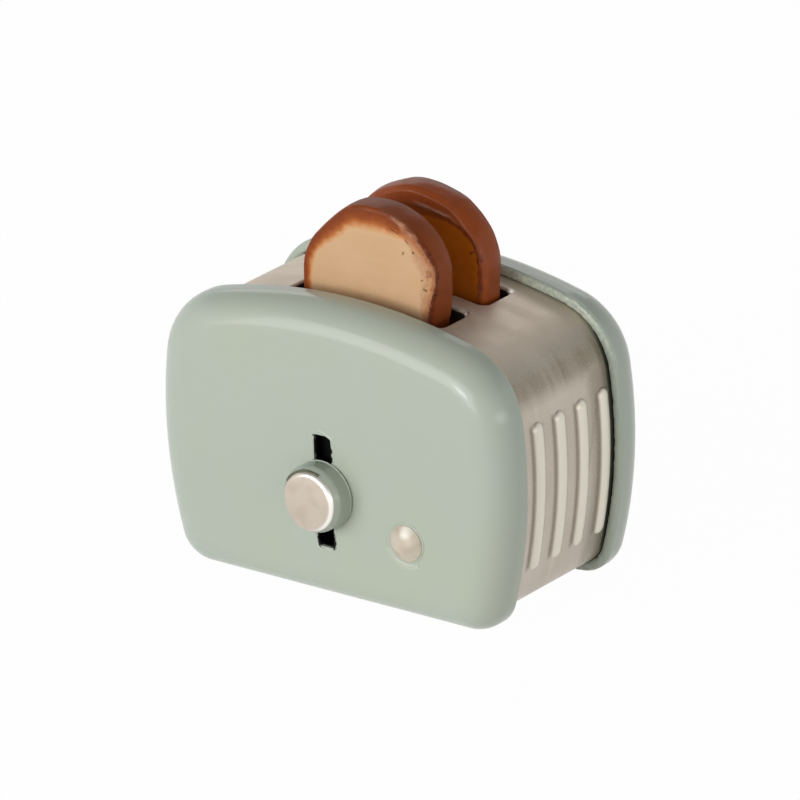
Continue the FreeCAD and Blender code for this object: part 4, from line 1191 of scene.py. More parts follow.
@dataclass
class ToastSlice:
    """A slice of toy bread, modelled in the place of its plain CAD solid.

    The outline runs through knots given as shares of the solid's width and height, with a third
    share by which the front edge stands to the right of the back edge. Rings of points lead from
    the middle of the front face over its edge, along the crust and to the back face.
    """

    node: str
    body: Body
    knots: tuple[Triple, ...]
    paint: ToastPaint
    seed: int
    pits: tuple[Pit, ...]
    toasted: Border
    blush: Border
    rim: Border
    recess: float
    worn_and_highlight: float
    highlight_width: float = 0.32 * MM
    lit: tuple[Span, Span] = ((-0.1, 0.1), (0.75, 0.55))
    blush_fade: Span = (1.15, 0.7)
    blush_edge: Span = (0.05 * MM, 0.2 * MM)
    blush_least: float = 0.02 * MM
    line: float = 0.45
    line_inset: float = 0.1 * MM
    line_width: float = 0.17 * MM
    crack: float = 0.95
    crack_inset: float = 0.1 * MM
    crack_width: float = 0.13 * MM
    crack_jag: float = 0.12 * MM
    face_tone: float = 0.08
    rim_tone: float = 0.84
    crust_tone: float = 0.82
    edge_round: float = 0.6 * MM
    back_round: float = 0.4 * MM
    face_depth: float = 0.01
    face_reach: float = 9.4 * MM
    border_reach: float = 3.2 * MM
    crust_bulge: float = 0.12 * MM
    wobble: float = 0.05 * MM
    wobble_size: float = 4 * MM
    rim_slope: float = 0.5 * MM
    rim_right: Span = (-0.15, 0.2)
    rim_least: float = 0.3
    lip_inset: float = 0.1 * MM
    lip_width: float = 0.22 * MM
    lip_share: float = 0.3
    pole: float = 0.004
    ragged_size: float = 1.1 * MM
    ragged_share: float = 0.22
    drift_size: float = 5 * MM
    drift_share: float = 0.3
    fine_size: float = 0.45 * MM
    broken_size: float = 1.6 * MM
    lump_size: float = 2.6 * MM
    lump_height: float = 0.05 * MM
    grain_size: float = 0.7 * MM
    grain_height: float = 0.012 * MM
    pit_depth: float = 0.08 * MM
    pit_reach: float = 1.1 * MM
    pit_jag: float = 0.06 * MM
    least_width: float = 0.05 * MM
    around: int = 760
    low: Vector = field(init=False)
    high: Vector = field(init=False)
    thickness: float = field(init=False)

    def __post_init__(self) -> None:
        """Look up the solid's lowest and highest corner."""
        self.low, self.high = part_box(self.node)
        self.thickness = self.high.y - self.low.y

    def build(self) -> bpy.types.Object:
        """Make the slice and put it on its body.

        Returns:
            The finished piece.
        """
        outline = self.outline()
        insets, depths, sides = self.profile()
        points = self.rings(outline, insets, depths)
        masks = self.masks(points, outline, np.repeat(insets, self.around), sides)
        points = np.clip(self.roughen(points, masks[Mask.PITS_AND_SHADE]), self.low, self.high)
        middle_front, middle_back = points[: self.around].mean(0), points[-self.around :].mean(0)
        points = np.vstack([points, middle_front, middle_back])
        faces = ring_faces(len(insets), self.around)
        first, last = len(points) - 2, len(points) - 1
        back = (len(insets) - 1) * self.around
        for step in range(self.around):
            following = (step + 1) % self.around
            faces.append((first, following, step))
            faces.append((last, back + step, back + following))
        piece = mesh_object(self.node + "_toast", points, faces)
        for mask, levels in masks.items():
            write_mask(piece, mask, np.append(levels, (levels[0], levels[-1])))
        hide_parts(self.node)
        ride(piece, self.body, self.paint.build(self.node + "_paint"))
        return piece

    def outline(self) -> np.ndarray:
        """The slice's outline, anticlockwise as seen from the front.

        Returns:
            A row of x, z and lean for each step around.
        """
        low, high = self.low, self.high
        span = np.array((high.x - low.x, high.z - low.z, high.x - low.x))
        start = np.array((low.x, low.z, 0.0))
        points = closed_spline(start + np.array(self.knots) * span, self.around)
        centre = points[:, :2].mean(axis=0)
        for row in points:
            push = noise.noise(Vector((row[0], row[1], self.seed * 0.1)) / self.wobble_size)
            away = row[:2] - centre
            row[:2] += away / np.linalg.norm(away) * (push * self.wobble - self.crust_bulge)
        return points

    def profile(self) -> tuple[np.ndarray, np.ndarray, np.ndarray]:
        """How far in from the outline, how deep and on which side each ring lies.

        Returns:
            Insets, depths as shares of the thickness, and a side for each point of the rings.
        """
        inner = np.linspace(self.face_reach, self.border_reach, 10, endpoint=False)
        border = np.linspace(self.border_reach, self.edge_round, 34, endpoint=False)
        quarter = np.linspace(0, math.pi / 2, 9)
        round_share, depth_share = 1 - np.sin(quarter), 1 - np.cos(quarter)
        along = np.linspace(0, 1, 24)[1:-1]
        wall = self.thickness - self.edge_round - self.back_round
        bulge = -self.crust_bulge * (1 - (2 * along - 1) ** 2)
        turned = self.thickness - self.back_round * depth_share[::-1]
        back = np.linspace(self.back_round, self.face_reach, 10)[1:]
        parts = (
            (inner, np.zeros(len(inner)), Side.FACE),
            (border, np.zeros(len(border)), Side.FACE),
            (self.edge_round * round_share, self.edge_round * depth_share, Side.EDGE),
            (bulge, self.edge_round + along * wall, Side.CRUST),
            (self.back_round * round_share[::-1], turned, Side.BACK),
            (back, np.full(len(back), self.thickness), Side.BACK),
        )
        insets = np.concatenate([inset for inset, _, _ in parts])
        depths = np.concatenate([depth for _, depth, _ in parts])
        sides = np.concatenate([np.full(len(inset), int(side)) for inset, _, side in parts])
        return insets, depths / self.thickness, np.repeat(sides, self.around)

    def rings(self, outline: np.ndarray, insets: np.ndarray, depths: np.ndarray) -> np.ndarray:
        """Lay out the rings of points, with the front face sunk inside its rim.

        Args:
            outline: The slice's outline and lean.
            insets: How far in from the outline each ring lies.
            depths: How deep each ring lies, as shares of the thickness.

        Returns:
            All points, ring after ring.
        """
        centre = outline[:, :2].mean(axis=0)
        reach = np.linalg.norm(outline[:, :2] - centre, axis=1)
        across, up = self.places(outline[:, 0], outline[:, 1])
        rim = self.rim.width(across, up)
        right = smooth(*self.rim_right, across)
        rings = []
        for inset, depth in zip(insets, depths):
            share = np.clip(1 - inset / reach, self.pole, None)
            flat = centre + (outline[:, :2] - centre) * share[:, None]
            x = flat[:, 0] + outline[:, 2] * (1 - depth) * share
            y = np.full(self.around, self.low.y + depth * self.thickness)
            if depth < self.face_depth:
                sunk = smooth(rim, rim + self.rim_slope, inset)
                lip = bell(inset - rim + self.lip_inset, self.lip_width)
                y += self.recess * (right * (sunk - self.lip_share * lip) + self.rim_least)
            rings.append(np.column_stack([x, y, flat[:, 1]]))
        return np.vstack(rings)

    def places(self, x: np.ndarray, z: np.ndarray) -> tuple[np.ndarray, np.ndarray]:
        """Where points lie in the solid.

        Args:
            x: Their places along X.
            z: Their heights.

        Returns:
            How far across, from -1 to 1, and how far up, from 0 to 1.
        """
        low, high = self.low, self.high
        across = (x - (low.x + high.x) / 2) / ((high.x - low.x) / 2)
        up = (z - low.z) / (high.z - low.z)
        return np.clip(across, -1, 1), np.clip(up, 0, 1)

    def masks(
        self,
        points: np.ndarray,
        outline: np.ndarray,
        insets: np.ndarray,
        sides: np.ndarray,
    ) -> dict[Mask, np.ndarray]:
        """Where crumb, crust, blush, worn paint and pits lie.

        Args:
            points: All points of the rings.
            outline: The slice's outline and lean.
            insets: How far in from the outline each point lies.
            sides: The side that each point lies on.

        Returns:
            A level from 0 to 1 for each mask and point.
        """
        rings = len(points) // self.around
        across, up = self.places(outline[:, 0] + outline[:, 2], outline[:, 1])
        across, up = np.tile(across, rings), np.tile(up, rings)
        ragged = self.fractal(points, self.ragged_size, 4)
        drift = self.drift(points, self.drift_size)
        wander = (ragged * self.ragged_share + drift * self.drift_share) * MM
        face = sides <= Side.EDGE

        toasted = self.toasted.width(across, up)
        rim = self.rim.width(across, up)
        edge = (insets + wander - rim) / np.maximum(toasted, self.least_width)
        fade = np.clip(1.15 - 0.85 * edge, 0, 1)
        tone = self.face_tone + drift * 0.08 + (0.97 - self.face_tone) * fade
        tone = np.where(insets + 0.5 * wander < rim, self.rim_tone + ragged * 0.05, tone)
        crust = self.crust_tone + drift * 0.16 - 0.2 * smooth(-0.4, -0.9, across)
        toast = np.where(face, tone, crust)
        line = bell(insets + 0.3 * wander - self.line_inset, self.line_width) * self.line
        toast = np.where(face, toast + line * smooth(0.0, 0.7, across), toast)

        blush_width = self.blush.width(across, up)
        share = insets / np.maximum(blush_width, self.least_width)
        blush = smooth(*self.blush_fade, share + ragged * 0.25) * smooth(*self.blush_edge, insets)
        blush *= 0.7 + ragged * 0.5
        blush = np.where(face & (blush_width > self.blush_least), blush, 0)

        # Painted highlight along the face's rim, kept to where it is lit.
        lit = smooth(*self.lit[0], across) * smooth(*self.lit[1], across)
        worn_and_highlight = np.where(face, bell(insets - rim, self.highlight_width) * self.worn_and_highlight * lit, 0)
        return {
            Mask.TOAST: np.clip(toast, 0, 1),
            Mask.BLUSH: np.clip(blush, 0, 1),
            Mask.WORN_AND_HIGHLIGHT: np.clip(worn_and_highlight, 0, 1),
            Mask.PITS_AND_SHADE: self.chars(points, np.where(face, insets, self.face_reach), rim),
        }

    def fractal(self, points: np.ndarray, size: float, octaves: int) -> np.ndarray:
        """Ragged noise at each point.

        Args:
            points: The points.
            size: The size of its largest features.
            octaves: How many layers of finer noise it has.

        Returns:
            Levels round 0.
        """
        return np.array([noise.fractal(Vector(p) / size, 1.0, 2.0, octaves) for p in points])

    def drift(self, points: np.ndarray, size: float) -> np.ndarray:
        """Soft noise round 0 at each point, with features of one size."""
        return np.array([noise.noise(Vector(p) / size) for p in points])

    def chars(self, points: np.ndarray, insets: np.ndarray, rim: np.ndarray) -> np.ndarray:
        """How dark the pits and cracks make each point.

        Args:
            points: All points of the rings.
            insets: How far in from the outline each point lies.
            rim: How wide the face's rim is there.

        Returns:
            A level from 0 to 1 for each point.
        """
        low, high = self.low, self.high
        fine = self.fractal(points, self.fine_size, 3)
        broken = self.drift(points, self.broken_size)
        across, _ = self.places(points[:, 0], points[:, 2])
        jag = self.crack_jag * fine
        crack = bell(insets - self.crack_inset - rim + jag, self.crack_width)
        char = crack * self.crack * smooth(0.35, 0.7, across) * smooth(-0.5, 0.05, broken)
        near = points[:, 1] < low.y + self.pit_reach
        for pit in self.pits:
            spot = (low.x + pit.across * (high.x - low.x), low.z + pit.up * (high.z - low.z))
            lean = math.radians(pit.lean)
            offset = points[:, (0, 2)] - np.array(spot)
            run = offset @ np.array((math.sin(lean), math.cos(lean)))
            side = offset @ np.array((math.cos(lean), -math.sin(lean)))
            run = np.clip(np.abs(run) - pit.length / 2, 0, None)
            distance = np.hypot(run, side) + (self.pit_jag + 0.6 * pit.radius) * fine
            dark = smooth(1.3 * pit.radius, 0.2 * pit.radius, distance)
            dark -= 0.6 * pit.hollow * smooth(0.7 * pit.radius, 0.1 * pit.radius, distance)
            char = np.maximum(char, np.where(near, dark * 0.9, 0))
        return char

    def roughen(self, points: np.ndarray, char: np.ndarray) -> np.ndarray:
        """Give the slice its uneven surface, and sink its pits.

        Args:
            points: All points of the rings.
            char: How dark each point is.

        Returns:
            The moved points.
        """
        moved = points.copy()
        middle = points.mean(axis=0)
        for index, point in enumerate(points):
            away = point - middle
            away[1] *= 4
            away /= np.linalg.norm(away)
            place = Vector(point) + Vector((0, 0, self.seed * MM))
            lump = noise.noise(place / self.lump_size) * self.lump_height
            grain = noise.fractal(place / self.grain_size, 1.0, 2.0, 3) * self.grain_height
            moved[index] += away * (lump + grain - char[index] * self.pit_depth)
        return moved


FRONT_KNOTS = (
    (0.060, 0.000, 0.000), (0.500, 0.000, 0.000), (0.911, 0.000, 0.000), (0.947, 0.049, 0.000),
    (0.952, 0.213, 0.000), (0.966, 0.360, -0.014), (0.988, 0.461, -0.029), (0.998, 0.553, -0.016),
    (1.000, 0.650, 0.015), (0.998, 0.705, 0.020), (0.986, 0.755, 0.014), (0.964, 0.797, 0.007),
    (0.933, 0.839, 0.000), (0.891, 0.879, 0.000), (0.855, 0.908, 0.000), (0.795, 0.944, 0.000),
    (0.744, 0.965, 0.000), (0.669, 0.987, 0.000), (0.594, 0.999, 0.000), (0.510, 1.000, 0.000),
    (0.432, 0.995, 0.000), (0.362, 0.978, 0.000), (0.285, 0.934, 0.000), (0.208, 0.873, 0.000),
    (0.143, 0.818, 0.000), (0.082, 0.759, 0.000), (0.029, 0.684, 0.000), (0.006, 0.612, 0.000),
    (0.002, 0.520, 0.000), (0.000, 0.402, 0.000), (0.002, 0.213, 0.000), (0.012, 0.049, 0.000),
)
REAR_KNOTS = (
    (0.060, 0.000, 0.000), (0.500, 0.000, 0.000), (0.911, 0.000, 0.000), (0.949, 0.049, 0.000),
    (0.969, 0.213, 0.000), (0.986, 0.381, 0.000), (0.995, 0.530, 0.000), (1.000, 0.623, 0.000),
    (0.988, 0.696, 0.000), (0.953, 0.776, 0.000), (0.904, 0.833, 0.000), (0.831, 0.895, 0.000),
    (0.758, 0.938, 0.000), (0.659, 0.967, 0.000), (0.560, 0.987, 0.000), (0.473, 0.992, 0.000),
    (0.385, 0.983, 0.000), (0.309, 0.964, 0.000), (0.207, 0.925, 0.000), (0.129, 0.875, 0.000),
    (0.075, 0.818, 0.000), (0.036, 0.747, 0.000), (0.012, 0.654, 0.000), (0.002, 0.549, 0.000),
    (0.000, 0.402, 0.000), (0.002, 0.213, 0.000), (0.012, 0.049, 0.000),
)
FRONT_PITS = (
    Pit(0.952, 0.699, 0.38 * MM, 0.2 * MM, 10, 1.0),
    Pit(0.769, 0.787, 0.17 * MM),
    Pit(0.84, 0.803, 0.14 * MM, 0.1 * MM),
    Pit(0.915, 0.803, 0.16 * MM),
    Pit(0.9, 0.657, 0.16 * MM, 0.2 * MM, 60),
    Pit(0.925, 0.61, 0.12 * MM, 0.5 * MM, 100),
    Pit(1.013, 0.698, 0.1 * MM, 1.1 * MM, -4),
    Pit(0.986, 0.592, 0.12 * MM, 0.3 * MM),
    Pit(0.956, 0.513, 0.1 * MM, 1.1 * MM, -15),
    Pit(0.711, 0.894, 0.1 * MM, 1.0 * MM, 111),
    Pit(0.8, 0.85, 0.08 * MM, 0.9 * MM, 130),
)
REAR_PITS = (
    Pit(0.939, 0.657, 0.3 * MM, 0.3 * MM, -30),
    Pit(0.9, 0.69, 0.14 * MM, 0.5 * MM, 70),
    Pit(0.975, 0.672, 0.11 * MM, 0.9 * MM),
    Pit(0.93, 0.745, 0.09 * MM, 0.9 * MM, 150),
    Pit(0.97, 0.52, 0.12 * MM, 1.2 * MM, -4),
)
FRONT_TOASTED = Border(
    top=((-1.0, 1.5), (-0.8, 1.6), (-0.45, 2.1), (0.0, 2.4), (0.4, 2.2), (0.7, 1.4), (1.0, 0.9)),
)
FRONT_BLUSH = Border(
    top=((0.3, 0.0), (0.48, 0.6), (0.62, 1.6), (0.8, 2.5)),
    right=((0.3, 0.8), (0.45, 1.4), (0.55, 2.1), (0.65, 2.6), (0.82, 2.5)),
)
FRONT_RIM = Border(top=((-1.0, 0.0), (-0.5, 0.25), (0.0, 0.35), (0.5, 0.2), (0.8, 0.05)))
REAR_TOASTED = Border(top=((-1.0, 0.6), (0.0, 1.2), (1.0, 0.8)))
REAR_BLUSH = Border(top=((-1.0, 0.0), (1.0, 0.0)))
REAR_RIM = Border(
    top=((-1.0, 1.2), (-0.4, 2.0), (0.1, 2.2), (0.5, 1.85), (0.72, 1.2), (0.85, 0.8)),
    right=((0.4, 0.45), (0.6, 0.45), (0.72, 0.5), (0.8, 0.8)),
)


# ------------------------------------------------------------------ knob's cap


@dataclass
class CapDome:
    """The knob's silvered front: a shallow dome with a rounded edge that isn't quite round."""

    half_width: float = 3.82 * MM
    half_height: float = 4.0 * MM
    drop: float = 0.06 * MM
    edge: float = 0.62 * MM
    crown: float = 0.16 * MM
    sunk: float = 0.5 * MM
    oval: float = 0.008
    oval_turn: float = 0.7
    lobes: float = 0.005
    # Where the edge is worn and painted with highlight, and the side the highlight faces towards.
    highlight_ring: Span = (0.84, 0.93)
    highlight_depth: float = 0.45
    highlight_towards: float = math.radians(15)
    highlight_turn: Span = (-0.3, 0.7)
    worn_least: float = 0.15
    pole: float = 0.02
    foot_share: float = 0.97
    around: int = 160
    rings: int = 40

    def build(self, finish: bpy.types.Material) -> bpy.types.Object:
        """Make the cap in the place of its plain CAD solid.

        Args:
            finish: The silver.

        Returns:
            The finished piece.
        """
        low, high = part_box("knob_cap")
        middle = np.array(((low.x + high.x) / 2, low.y, (low.z + high.z) / 2 - self.drop))
        shares, depths = self.profile()
        turn = np.linspace(0, 2 * math.pi, self.around, endpoint=False)
        oval = self.oval * np.sin(2 * turn + self.oval_turn)
        swell = 1 + oval + self.lobes * np.sin(3 * turn)
        rings = []
        for share, depth in zip(shares, depths):
            x = middle[0] + np.cos(turn) * self.half_width * share * swell
            z = middle[2] + np.sin(turn) * self.half_height * share * swell
            rings.append(np.column_stack([x, np.full(self.around, middle[1] + depth), z]))
        faces = ring_faces(len(rings), self.around)
        faces.append(tuple(reversed(range(self.around))))
        back = (len(rings) - 1) * self.around
        faces.append(tuple(range(back, back + self.around)))
        piece = mesh_object("knob_cap_dome", np.vstack(rings), faces)
        # Worn pale all round the edge, with painted highlight strongest on the side it faces
        # towards.
        fades = smooth(self.edge + self.crown, self.highlight_depth * self.edge, depths)
        facing = smooth(*self.highlight_turn, np.cos(turn - self.highlight_towards))
        side = self.worn_least + (1 - self.worn_least) * facing
        worn_and_highlight = np.outer(smooth(*self.highlight_ring, shares) * fades, side)
        write_mask(piece, Mask.WORN_AND_HIGHLIGHT, worn_and_highlight.ravel())
        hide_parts("knob_cap")
        ride(piece, Body.LEVER, finish)
        return piece

    def profile(self) -> tuple[np.ndarray, np.ndarray]:
        """The cap's section, from the middle to behind the edge.

        Returns:
            Shares of the radius, and depths behind the front.
        """
        half, rim = self.rings // 2, self.edge / self.half_width
        flat = np.linspace(self.pole, 1 - rim, half, endpoint=False)
        quarter = np.linspace(0, math.pi / 2, half)
        curve = 1 - rim * (1 - np.sin(quarter))
        dome = self.crown * np.concatenate([flat, curve]) ** 2
        edge = np.concatenate([np.zeros(len(flat)), self.edge * (1 - np.cos(quarter))])
        shares = np.concatenate([flat, curve, [1.0, self.foot_share]])
        foot = self.edge + self.crown
        return shares, np.concatenate([dome + edge, [foot + self.sunk / 2, foot + self.sunk]])


# ------------------------------------------------------------------ enamel build-up


@dataclass(frozen=True)
class Bead:
    """The sizes of a bead of enamel: half widths across and proud of the path, and its lumps."""

    width: float
    height: float
    lump: float
    lump_size: float = 0.9 * MM
    step: float = 0.12 * MM


@dataclass
class BeadTree:
    """A node tree that draws a lumpy bead along a flat path and stands it upright in a plane."""

    sides: int = 20
    seed: float = 4.0
    lump_detail: float = 2.0
    sockets: tuple[tuple[str, str], ...] = (
        ("Path", "NodeSocketGeometry"),
        ("Width", "NodeSocketFloat"),
        ("Height", "NodeSocketFloat"),
        ("Step", "NodeSocketFloat"),
        ("Lump", "NodeSocketFloat"),
        ("Lump Size", "NodeSocketFloat"),
        ("Plane", "NodeSocketFloat"),
        ("Finish", "NodeSocketMaterial"),
    )

    def build(self, name: str) -> bpy.types.NodeTree:
        """Make the tree.

        Args:
            name: Its name.

        Returns:
            The tree, with its sizes as named inputs.
        """
        tree = bpy.data.node_groups.new(name, "GeometryNodeTree")
        for socket, kind in self.sockets:
            tree.interface.new_socket(name=socket, in_out="INPUT", socket_type=kind)
        tree.interface.new_socket(name="Bead", in_out="OUTPUT", socket_type="NodeSocketGeometry")
        graph = Graph(tree)
        given = graph.add("NodeGroupInput").outputs
        curve = graph.add("GeometryNodeMeshToCurve", Mesh=given["Path"])
        even = graph.add(
            "GeometryNodeResampleCurve", ("mode", "LENGTH"), Curve=curve, Length=given["Step"]
        )
        level = graph.add("GeometryNodeSetCurveNormal", ("mode", "Z_UP"), Curve=even)
        ring = graph.add("GeometryNodeCurvePrimitiveCircle", Resolution=self.sides, Radius=1.0)
        size = graph.add("ShaderNodeCombineXYZ", X=given["Width"], Y=given["Height"], Z=1.0)
        section = graph.add("GeometryNodeTransform", Geometry=ring, Scale=size)
        bead = graph.add(
            "GeometryNodeCurveToMesh", Curve=level, Profile_Curve=section, Fill_Caps=True
        )
        lumps = self.lumps(graph, given)
        lumpy = graph.add("GeometryNodeSetPosition", Geometry=bead, Offset=lumps)
        soft = graph.add("GeometryNodeSetShadeSmooth", Geometry=lumpy)
        shift = graph.add("ShaderNodeCombineXYZ", Y=given["Plane"])
        upright = graph.add(
            "GeometryNodeTransform",
            Geometry=soft,
            Translation=shift,
            Rotation=(math.pi / 2, 0, 0),
        )
        real = graph.add("GeometryNodeRealizeInstances", Geometry=upright)
        painted = graph.add("GeometryNodeSetMaterial", Geometry=real, Material=given["Finish"])
        graph.add("NodeGroupOutput", Bead=painted)
        return tree

    def lumps(self, graph: Graph, given: bpy.types.NodeOutputs) -> bpy.types.Node:
        """How far each point of the bead is pushed in or out, along its normal.

        Args:
            graph: The tree's nodes.
            given: The tree's inputs.

        Returns:
            A node that gives the push as a vector.
        """
        scale = ("operation", "SCALE")
        finer = graph.step("DIVIDE", 1.0, given["Lump Size"])
        position = graph.add("GeometryNodeInputPosition")
        texture = graph.add(
            "ShaderNodeTexNoise",
            ("noise_dimensions", "4D"),
            Vector=graph.add("ShaderNodeVectorMath", scale, Vector=position, Scale=finer),
            W=self.seed,
            Scale=1.0,
            Detail=self.lump_detail,
        )
        centred = graph.step("SUBTRACT", texture.outputs["Fac"], 0.5)
        height = graph.product(centred, given["Lump"])
        normal = graph.add("GeometryNodeInputNormal")
        return graph.add("ShaderNodeVectorMath", scale, Vector=normal, Scale=height)


@dataclass
class PaintBeads:
    """Beads of enamel that gathered where the panels were dipped and sprayed.

    One fills the gap between each panel's rim and the casing, and others run round the dial,
    behind the knob and along the ragged edge of the lever's slot. The slot's right and left edges
    are given as heights, each with the gap from the lever's axis, and its low and high edges as x
    from that axis and z. Where the lip is painted black as shade of the slot is given as x and z.
    These are all in millimetres.
    """

    wall: float = 0.8 * MM
    lip_round: float = 0.3 * MM
    rim_side: float = 0.9
    rim_overlap: float = 0.06 * MM
    rim_slack: float = 0.02 * MM
    rim_smoothing: int = 4
    foot: float = 0.4 * MM
    path_points: int = 600
    arc_points: int = 96
    rear_rim: Bead = Bead(0.58 * MM, 0.3 * MM, 0.3 * MM, 0.7 * MM, 0.1 * MM)
    front_rim: Bead = Bead(0.52 * MM, 0.26 * MM, 0.16 * MM)
    slot_lip: Bead = Bead(0.34 * MM, 0.3 * MM, 0.04 * MM, 0.7 * MM, 0.03 * MM)
    lip_proud: float = 0.05 * MM
    low_edge: tuple[Span, ...] = ((-0.6, 7.25), (1.1, 7.15))
    right_edge: tuple[Span, ...] = (
        (7.9, 1.24), (8.4, 1.28), (9.2, 1.24), (10.4, 1.18), (18.9, 1.18), (20.5, 1.18),
        (21.3, 1.17), (21.8, 1.1), (22.15, 0.9),
    )
    high_edge: tuple[Span, ...] = ((0.5, 22.6), (-0.8, 22.85))
    left_edge: tuple[Span, ...] = (
        (7.8, 0.85), (8.3, 1.08), (8.9, 1.18), (10.0, 1.25), (18.9, 1.34), (19.8, 1.27),
        (20.9, 1.24), (21.6, 1.31), (22.0, 1.33),
    )
    dial_ring: Bead = Bead(0.26 * MM, 0.2 * MM, 0.1 * MM, 1.2 * MM)
    dial_ring_sunk: float = 0.08 * MM
    ring_radius: float = 2.44 * MM
    halo: Bead = Bead(0.55 * MM, 0.24 * MM, 0.16 * MM, 1.6 * MM)
    halo_sunk: float = 0.17 * MM
    halo_radius: float = 3.15 * MM
    halo_arc: Span = (math.radians(200), math.radians(305))
    knob_ring: Bead = Bead(0.14 * MM, 0.12 * MM, 0.06 * MM)
    knob_ring_inset: float = 0.04 * MM
    # A dark bead as painted shadow between the knob's cap and its skirt.
    crevice: Bead = Bead(0.24 * MM, 0.2 * MM, 0.22 * MM, 0.8 * MM)
    crevice_sunk: float = 0.02 * MM
    crevice_radius: float = 3.86 * MM
    crevice_arc: Span = (math.radians(68), math.radians(150))
    # Outline of the painted shade on the slot's lip, as x and z.
    chipped: tuple[Span, ...] = (
        (-1.7, 22.3), (-0.6, 22.6), (0.1, 22.5), (0.6, 22.3), (1.05, 22.1), (1.0, 21.3),
        (1.14, 21.0), (1.36, 20.7), (1.3, 20.4), (1.1, 20.2), (1.16, 19.95), (1.36, 19.6),
        (1.34, 19.25), (1.08, 18.95), (1.08, 12.0), (1.2, 10.4), (1.32, 9.2), (1.52, 8.4),
        (1.46, 8.0), (1.2, 7.4), (0.4, 7.4), (-0.5, 7.3), (-1.2, 7.45), (-1.45, 8.3),
        (-1.55, 10.0), (-1.6, 12.5), (-1.7, 16.0), (-1.74, 18.91), (-1.62, 20.2),
        (-1.58, 20.94), (-1.7, 21.6),
    )

    def build(
        self,
        finish: bpy.types.Material,
        pale: bpy.types.Material,
        smear: bpy.types.Material,
        gap_shade: bpy.types.Material,
    ) -> None:
        """Make the beads.

        Args:
            finish: The enamel.
            pale: The enamel where it gathered thick, with pale flecks that are partly painted
                glints.
            smear: The thin pale enamel beside the dial.
            gap_shade: The painted shadow beside the knob's cap.
        """
        tree = BeadTree().build("enamel_bead")
        for node, bead, side in (
            ("front_panel", self.front_rim, 1),
            ("rear_panel", self.rear_rim, -1),
        ):
            path, edge = self.rim_path(node, side)
            self.draw(tree, node + "_bead", path, False, bead, edge, pale)

        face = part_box("front_panel")[0].y
        knob_low, knob_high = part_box("lever_knob")
        knob = midpoint((knob_low, knob_high))[[0, 2]]
        plane = face + self.slot_lip.height - self.lip_proud
        lip = self.slot_path(knob[0])
        # Painted shade: the lip is painted black along the slot's outline, widening its dark
        # opening.
        self.chip(self.draw(tree, "slot_lip", lip, True, self.slot_lip, plane, finish))

        dial = midpoint(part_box("dial_stud"))[[0, 2]]
        whole = (0.0, 2 * math.pi)
        ring = self.arc(dial, self.ring_radius, whole)
        plane = face + self.dial_ring_sunk
        self.draw(tree, "dial_ring", ring, True, self.dial_ring, plane, finish)
        halo = self.arc(dial, self.halo_radius, self.halo_arc)
        self.draw(tree, "dial_halo", halo, False, self.halo, face + self.halo_sunk, smear)

        ring = self.arc(knob, (knob_high.x - knob_low.x) / 2 - self.knob_ring_inset, whole)
        plane = knob_high.y - self.knob_ring.height
        self.draw(tree, "knob_ring", ring, True, self.knob_ring, plane, finish, Body.LEVER)
        # Painted shadow: a dark crescent bead between the knob's cap and its skirt.
        crescent = self.arc(knob, self.crevice_radius, self.crevice_arc)
        plane = knob_low.y + self.crevice_sunk
        self.draw(tree, "cap_crevice", crescent, False, self.crevice, plane, gap_shade, Body.LEVER)

    def rim_path(self, node: str, side: int) -> tuple[np.ndarray, float]:
        """The middle of the bead along a panel's rim, open at the foot.

        Args:
            node: The panel.
            side: 1 where its rim points to the back, -1 to the front.

        Returns:
            The path as x, z points, and the plane of the rim's edge.
        """
        points = mesh_points(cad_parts[node].data)
        wide = np.abs(points[:, 0]) > self.rim_side * points[:, 0].max()
        edge = (points[wide, 1] * side).max() * side
        rim = points[np.abs(points[:, 1] - edge) < self.rim_slack][:, (0, 2)]
        loop = rim[geometry.convex_hull_2d([tuple(point) for point in rim])]
        loop = even_steps(loop, self.path_points)
        shifts = range(-self.rim_smoothing, self.rim_smoothing + 1)
        loop = sum(np.roll(loop, shift, axis=0) for shift in shifts) / len(shifts)
        along = np.roll(loop, -1, axis=0) - np.roll(loop, 1, axis=0)
        inward = np.column_stack([-along[:, 1], along[:, 0]])
        inward /= np.linalg.norm(inward, axis=1)[:, None]
        inward *= np.sign(np.sum((loop.mean(axis=0) - loop) * inward, axis=1))[:, None]
        path = loop + inward * (self.wall - self.lip_round - self.rim_overlap)
        start = np.argmin(np.hypot(path[:, 0], path[:, 1]))
        path = np.roll(path, -start, axis=0)
        return path[path[:, 1] > self.foot], edge

    def slot_path(self, lever_x: float) -> np.ndarray:
        """The middle of the lip round the lever's slot.

        Args:
            lever_x: The lever's axis.

        Returns:
            The closed path as x, z points.
        """
        out = self.slot_lip.width
        low = [(lever_x + x * MM, z * MM) for x, z in self.low_edge]
        right = [(lever_x + gap * MM + out, level * MM) for level, gap in self.right_edge]
        high = [(lever_x + x * MM, z * MM) for x, z in self.high_edge]
        left = [(lever_x - gap * MM - out, level * MM) for level, gap in self.left_edge]
        return closed_spline(np.array(low + right + high + left[::-1]), self.path_points)

    def arc(self, middle: np.ndarray, radius: float, sweep: Span) -> np.ndarray:
        """Points along an arc.

        Args:
            middle: Its centre as x, z.
            radius: Its radius.
            sweep: The angles where it starts and ends, in radians.

        Returns:
            The x, z points.
        """
        turn = np.linspace(*sweep, self.arc_points, endpoint=False)
        return middle + radius * np.column_stack([np.cos(turn), np.sin(turn)])

